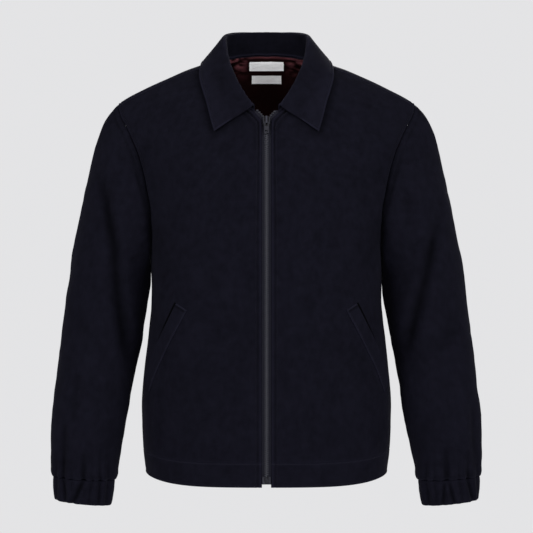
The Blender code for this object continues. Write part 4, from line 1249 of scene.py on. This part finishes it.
class JACKET_OT_collar(bpy.types.Operator):
    """Turn down the collar"""
    bl_idname = "jacket.collar"
    bl_label = "Collar"

    def execute(self, context):
        shell = self.shell()
        top, leaf = shell.top, ramp(shell.top, 45, 20)
        reach = np.linalg.norm(shell.points - shell.points[:1], axis=2)
        turned = np.argmax(np.diff(reach, axis=0) < 0, axis=0)
        fold = top[turned, np.arange(len(turned))]
        # The stand's inside darker below the fold; a painted highlight along the fold's crest, a pale
        # line at the stand's seam, and the whole leaf painted lighter where the light falls on it.
        shell.shade += 0.42 * ramp(fold - top, 0, 4)
        shell.wear += 1.1 * hump(top, fold - 1.0, 1.8) + 1.3 * hump(top, 1.5, 1.2) + 0.35 * leaf
        shell.raise_by(0.5 * leaf * fractal(shell.points, 45, 61.0))
        shell.press(bottom=TURNED_EDGE)
        # Painted highlights along the collar's outer edges, and painted shade just inside them.
        shell.wear += 1.3 * hump(shell.bottom, 0.9, 1.5)
        shell.shade += 0.25 * hump(shell.bottom, 3.8, 1.1)
        for distance in (shell.left, shell.right):
            shell.raise_by(humps(distance, *TURNED_EDGE.rise) * leaf)
            shell.wear += 2.4 * hump(distance, 0.9, 1.5) * leaf
            shell.shade += 0.25 * hump(distance, 3.8, 1.1) * leaf
        shell.sewn("collar_cloth", "collar", wall=COLLAR_WALL, flat=(0.50, 0.115), area=0.0465)
        folded = int(np.argmax(top[:, 0] > 52))
        runs = [shell.line("bottom", TOPSTITCH, slice(5, -5))]
        runs += [shell.line(side, TOPSTITCH, slice(folded, -5)) for side in OTHER]
        stitched("collar_topstitching", runs)
        return {"FINISHED"}

    def shell(self):
        """The collar's cloth on the side that shows, from its seam up and over to its edge."""
        back, front = formed([neckline(BACK_NECKLINE, NECK_COLUMNS),
                              neckline(FRONT_NECKLINE, NECK_ROWS)])
        seam = back + front[1:]
        reach = reaches(np.array(seam))
        columns = [collar_column(point, at / reach[-1]) for point, at in zip(seam, reach)]
        hidden = [row[::-1] for row in whole([list(row) for row in zip(*columns)])]
        shell = Cloth(hidden, columns=120, lines=26, on_body=False, left=SEWN, right=SEWN, bottom=SEWN)
        shell.points = (shell.points - shell.normals() * COLLAR_WALL)[:, ::-1]
        shell.left, shell.right = shell.right[:, ::-1], shell.left[:, ::-1]
        shell.top, shell.bottom = shell.top[:, ::-1], shell.bottom[:, ::-1]
        return shell


class JACKET_OT_welts(bpy.types.Operator):
    """Lay the slanted welts over the pocket mouths"""
    bl_idname = "jacket.welts"
    bl_label = "Pocket welts"

    def execute(self, context):
        runs = []
        for side, outer in OTHER.items():
            rows = self.laid(side, 0, 1, WELT_LIFT + WELT_WALL)
            self.mouth(side)
            cloth = Cloth(rows, columns=2, lines=44, left=WELTED, right=WELTED, top=WELTED,
                          bottom=PLAIN[:3])
            cloth.press(**{side: WELT_SEAM, outer: WELT_MOUTH}, top=WELT_END)
            open_part = ramp(-cloth.top, -135, 50)
            # A paler face, pale lines at the welt's top and along its seam, painted shade under its
            # top, and painted shade along its open outer edge.
            cloth.wear = (0.3 * cloth.wear + 1.8 * hump(cloth.top, 0.9, 1.1) + 0.14
                          + hump(getattr(cloth, side), 0.6, 0.9))
            cloth.shade = (0.3 * cloth.shade + hump(cloth.top, 3.2, 1.1)
                           + hump(getattr(cloth, outer), 0, 1.0) * open_part)
            cloth.sewn("welt_cloth_" + side, "pocket_welt_" + side, wall=WELT_WALL,
                       flat=(0.0195, 0.152), held="laid", rests_on=["front_cloth_" + side])
            runs += [cloth.line(side, WELT_STITCH), cloth.line("top", EDGE_STITCH)]
        stitched("welt_topstitching", runs)
        return {"FINISHED"}

    def mouth(self, side):
        """A strip standing for the pocket's facing beside the welt, coloured with painted shade where
        the mouth is open.
        """
        cloth = Cloth(self.laid(side, 0.42, 1.15, 0.36), columns=2, lines=40,
                      **dict.fromkeys(EDGES, NARROW))
        closed = ramp(cloth.top, 40, 62)
        cloth.shade += 1 - closed
        cloth.raise_by(-0.7 * closed)
        cloth.sewn("pocket_mouth_" + side, wall=0.3, flat=(0.014, 0.152), held="laid",
                   rests_on=["front_cloth_" + side])

    def laid(self, side, first, last, lift):
        """Rows of places just over the front's cloth, from the zip's side to the arm's."""
        front, sign = bpy.data.objects["front_cloth_" + side], 1 if side == "left" else -1
        graph = bpy.context.evaluated_depsgraph_get()
        rows = []
        for i in range(61):
            read = lambda column: WELT.at(i / 60, column)
            row = []
            for k in range(5):
                x, z = [lerp(read("front_" + axis), read("side_" + axis), lerp(first, last, k / 4))
                        for axis in "xz"]
                form = on_torso(x, z, "front", 0)
                way = outward(form).normalized()
                for vector in (form, way):
                    vector.x *= sign
                hit, place, *_ = front.ray_cast((form + way * 30) * MM, -way, depsgraph=graph)
                if not hit:
                    raise RuntimeError("the welt misses the front")
                row.append(place / MM + way * lift)
            rows.append(row[::sign])
        return rows


class JACKET_OT_lining(bpy.types.Operator):
    """Line the inside of the upper back, with its two bare labels"""
    bl_idname = "jacket.lining"
    bl_label = "Lining and labels"

    def execute(self, context):
        upper = [row[:-3 * FINE] for row in back_places()[:9 * FINE + 1]]
        cloth = back_cloth(upper, columns=190, lines=150)
        cloth.points = (cloth.points - cloth.ways_out * (WALL + LINING_WALL))[:, ::-1]
        cloth.ways_out = -cloth.ways_out[:, ::-1]
        self.crumpled(cloth)
        cloth.sewn("upper_lining", "back_lining", look=SATIN, slot="brown_satin",
                   wall=LINING_WALL, flat=(0.44, 0.33), area=0.114, rests_on=["back_cloth"])
        for name in LABEL_HEMS:
            self.label(name)
        return {"FINISHED"}

    def crumpled(self, cloth):
        """Creases along the neck's seam, and crumpled satin on both sides of the labels, with painted
        highlights on their crests and painted shade in their hollows.
        """
        x, down = cloth.points[..., 0], cloth.top
        drift = fractal(cloth.points, 60, 71.0)
        fading = np.exp(-down / 6)
        rim = np.sin((down + 4 * drift) / 1.6) * fading
        streaks = 1.7 * fractal(cloth.points * (0.55, 1.0, 1.25), 8, 77.0) + 0.5 * drift
        beside = ramp(np.abs(x), 27, 12) * humps(down, (1, 7, 11), (0.45, 22, 14))
        calm = 1 - ramp(-np.abs(x), -38, 8) * ramp(down, 2.5, 3) * 0.9
        ripple = 0.8 * rim * calm + 1.5 * streaks * beside
        ripple += 0.8 * fractal(cloth.points, 32, 77.0) * ramp(down, 0, 12) * calm
        cloth.raise_by(np.maximum(ripple + 0.8, 0))
        # painted highlights on the creases' crests, and painted shade in the hollows beside the labels
        cloth.wear = np.clip(0.5 + 0.8 * rim, 0, 1) * fading * calm
        cloth.wear += np.clip(0.35 + 1.3 * streaks, 0, 1.1) * beside * np.where(x > 0, 0.75, 1.1)
        cloth.shade = np.clip(-0.2 - 1.6 * streaks, 0, 1) * np.clip(beside * 2, 0, 1)

    def label(self, name):
        low, high = [[value / MM for value in corner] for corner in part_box(name)]
        above, below = LABEL_HEMS[name]
        top, bottom = high[2] - above, low[2] + below
        rows = [[self.level_with(lerp(high[0], low[0], j / 24), lerp(top, bottom, i / 8))
                 for j in range(25)] for i in range(9)]
        cloth = Cloth(rows, columns=30, lines=8, **dict.fromkeys(EDGES, HEMMED))
        cloth.press(**dict.fromkeys(EDGES, LABEL_EDGE))
        cloth.sewn(name + "_cloth", name, look="white_label_weave", slot="white_woven", wall=0.6,
                   flat=((high[0] - low[0]) * MM, (top - bottom) * MM * 1.05), held="laid",
                   rests_on=["upper_lining"])
        stitched(name + "_stitches", [cloth.line(side, LABEL_STITCH) for side in EDGES],
                 look="label_thread", slot="white_woven")

    def level_with(self, x, z):
        """A point on the lining that is at height z once it's moved in from the back."""
        slid = on_torso(x, z, "back", -LABEL_DEPTH).z - z
        return on_torso(x, z - slid, "back", -LABEL_DEPTH)


class JACKET_OT_zip(bpy.types.Operator):
    """Fit the zip: tapes, teeth and finishes of the slider, pull and box"""
    bl_idname = "jacket.zip"
    bl_label = "Zip"

    def execute(self, context):
        tape = []
        for i in range(141):
            z = lerp(ZIP_TOP_Z, TAPE_END_Z, i / 140)
            start, end = ZIP_EDGE.at(z) - 0.1, ZIP_EDGE.at(z) + TAPE_START + TAPE_WIDTH
            tape.append([on_torso(lerp(start, end, t), z, "front", -lerp(TEETH_BACK, TAPE_FACE, t))
                         for t in (0, 0.33, 0.67, 1)])
        for side, rows in both_sides(tape):
            cloth = Cloth(rows, columns=6, lines=180, left=NARROW, right=NARROW)
            cloth.sewn("zip_tape_cloth_" + side, "zip_tape_" + side, look="grey_zip_tape",
                       slot="zip_tape", wall=0.9, flat=(0.0135, 0.572), held="hung")
            self.chain(side, context.scene.jacket.tooth_pitch / MM)
        for name, look in (("zip_slider", "metal"), ("zip_pull", "pull"), ("zip_box", "box")):
            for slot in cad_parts[name].material_slots:
                slot.material = finish("grey_zip_" + look)
        return {"FINISHED"}

    def chain(self, side, pitch):
        """A row of small teeth that mesh with the other chain's."""
        tooth = bmesh.new()
        bmesh.ops.create_cube(tooth, size=2.0)
        bmesh.ops.bevel(tooth, geom=tooth.edges[:], offset=0.4, affect="EDGES", segments=2,
                        profile=0.5, material=-1)
        sign = 1 if side == "left" else -1
        z = ZIP_TOP_Z - 1.0 - (pitch / 2 if side == "left" else 0)
        places = []
        while z > ZIP_END_Z + 1:
            x = ZIP_EDGE.at(z)
            inner, outer = [on_torso(end, z, "front", -CHAIN_FACE - TOOTH_HEIGHT - 0.05)
                            for end in (x - TOOTH_REACH, x + CHAIN_WIDTH - 0.2)]
            ahead = on_torso(x, z - 1, "front", 0) - on_torso(x, z, "front", 0)
            up = (outer - inner).cross(ahead)
            if up.y > 0:
                up.negate()
            middle, along = (inner + outer) / 2, outer - inner
            for vector in (middle, along, up):
                vector.x *= sign
            places.append(placing(middle, along, up, (along.length / 2, pitch / 4, TOOTH_HEIGHT)))
            z += ahead.z * pitch / ahead.length
        bm = scattered(tooth, places)
        bmesh.ops.recalc_face_normals(bm, faces=bm.faces)
        sewn_in(finished(bm, "zip_chain_" + side, "grey_zip_teeth", sharp=30), "zip_metal",
                "zip_teeth_" + side)


class JACKET_OT_stage(bpy.types.Operator):
    """Set the pale floor, the soft lights and the camera"""
    bl_idname = "jacket.stage"
    bl_label = "Stage"

    def execute(self, context):
        scene = context.scene
        scene.view_settings.view_transform = "Standard"
        bm = bmesh.new()
        bmesh.ops.create_circle(bm, cap_ends=True, segments=96, radius=2.5,
                                matrix=Matrix.Translation((0, 0, -1.1)))
        finished(bm, "studio_floor", "pale_studio_floor")
        self.sky(scene)
        for name, place, size, power in LAMPS:
            lamp = bpy.data.lights.new(name, "AREA")
            lamp.shape, lamp.size, lamp.energy = "DISK", size, power
            aim = Vector(LAMP_AIM) - Vector(place)
            self.placed(scene, name, lamp, place, aim.to_track_quat("-Z", "Y").to_euler())
        lens = bpy.data.cameras.new("camera")
        lens.lens, lens.sensor_width = CAMERA_LENS, 36
        scene.camera = self.placed(scene, "camera", lens, CAMERA_PLACE, (math.radians(90), 0, 0))
        return {"FINISHED"}

    def placed(self, scene, name, data, place, turn):
        item = bpy.data.objects.new(name, data)
        item.location, item.rotation_euler = place, turn
        scene.collection.objects.link(item)
        return item

    def sky(self, scene):
        """A pale backdrop that lights the jacket less than it shows."""
        world = bpy.data.worlds.new("studio")
        world.use_nodes = True
        nodes, link = world.node_tree.nodes, world.node_tree.links.new
        seen, dim = nodes["Background"], nodes.new("ShaderNodeBackground")
        for node, strength in ((seen, 1.0), (dim, 0.55)):
            node.inputs["Color"].default_value = (0.774, 0.774, 0.787, 1)
            node.inputs["Strength"].default_value = strength
        ray, pick = nodes.new("ShaderNodeLightPath"), nodes.new("ShaderNodeMixShader")
        for i, output in enumerate((ray.outputs["Is Camera Ray"], dim.outputs[0], seen.outputs[0])):
            link(output, pick.inputs[i])
        link(pick.outputs[0], nodes["World Output"].inputs[0])
        scene.world = world


PIECES = (JACKET_OT_body, JACKET_OT_hem_band, JACKET_OT_sleeves, JACKET_OT_cuffs,
          JACKET_OT_collar, JACKET_OT_welts, JACKET_OT_lining, JACKET_OT_zip, JACKET_OT_stage)


class JACKET_PT_panel(bpy.types.Panel):
    """Sizes, colours and steps of the jacket"""
    bl_idname = "JACKET_PT_panel"
    bl_label = "Jacket"
    bl_space_type = "VIEW_3D"
    bl_region_type = "UI"
    bl_category = "Jacket"

    def draw(self, context):
        settings = context.scene.jacket
        for name in settings.bl_rna.properties.keys():
            if name not in ("rna_type", "name"):
                self.layout.prop(settings, name)
        for piece in PIECES:
            self.layout.operator(piece.bl_idname)


CLASSES = (JacketSettings, *PIECES, JACKET_PT_panel)


def register():
    for cls in CLASSES:
        bpy.utils.register_class(cls)
    bpy.types.Scene.jacket = bpy.props.PointerProperty(type=JacketSettings)


def unregister():
    del bpy.types.Scene.jacket
    for cls in reversed(CLASSES):
        bpy.utils.unregister_class(cls)


def main():
    register()
    for piece in PIECES:
        group, name = piece.bl_idname.split(".")
        getattr(getattr(bpy.ops, group), name)()


if __name__ == "__main__":
    main()
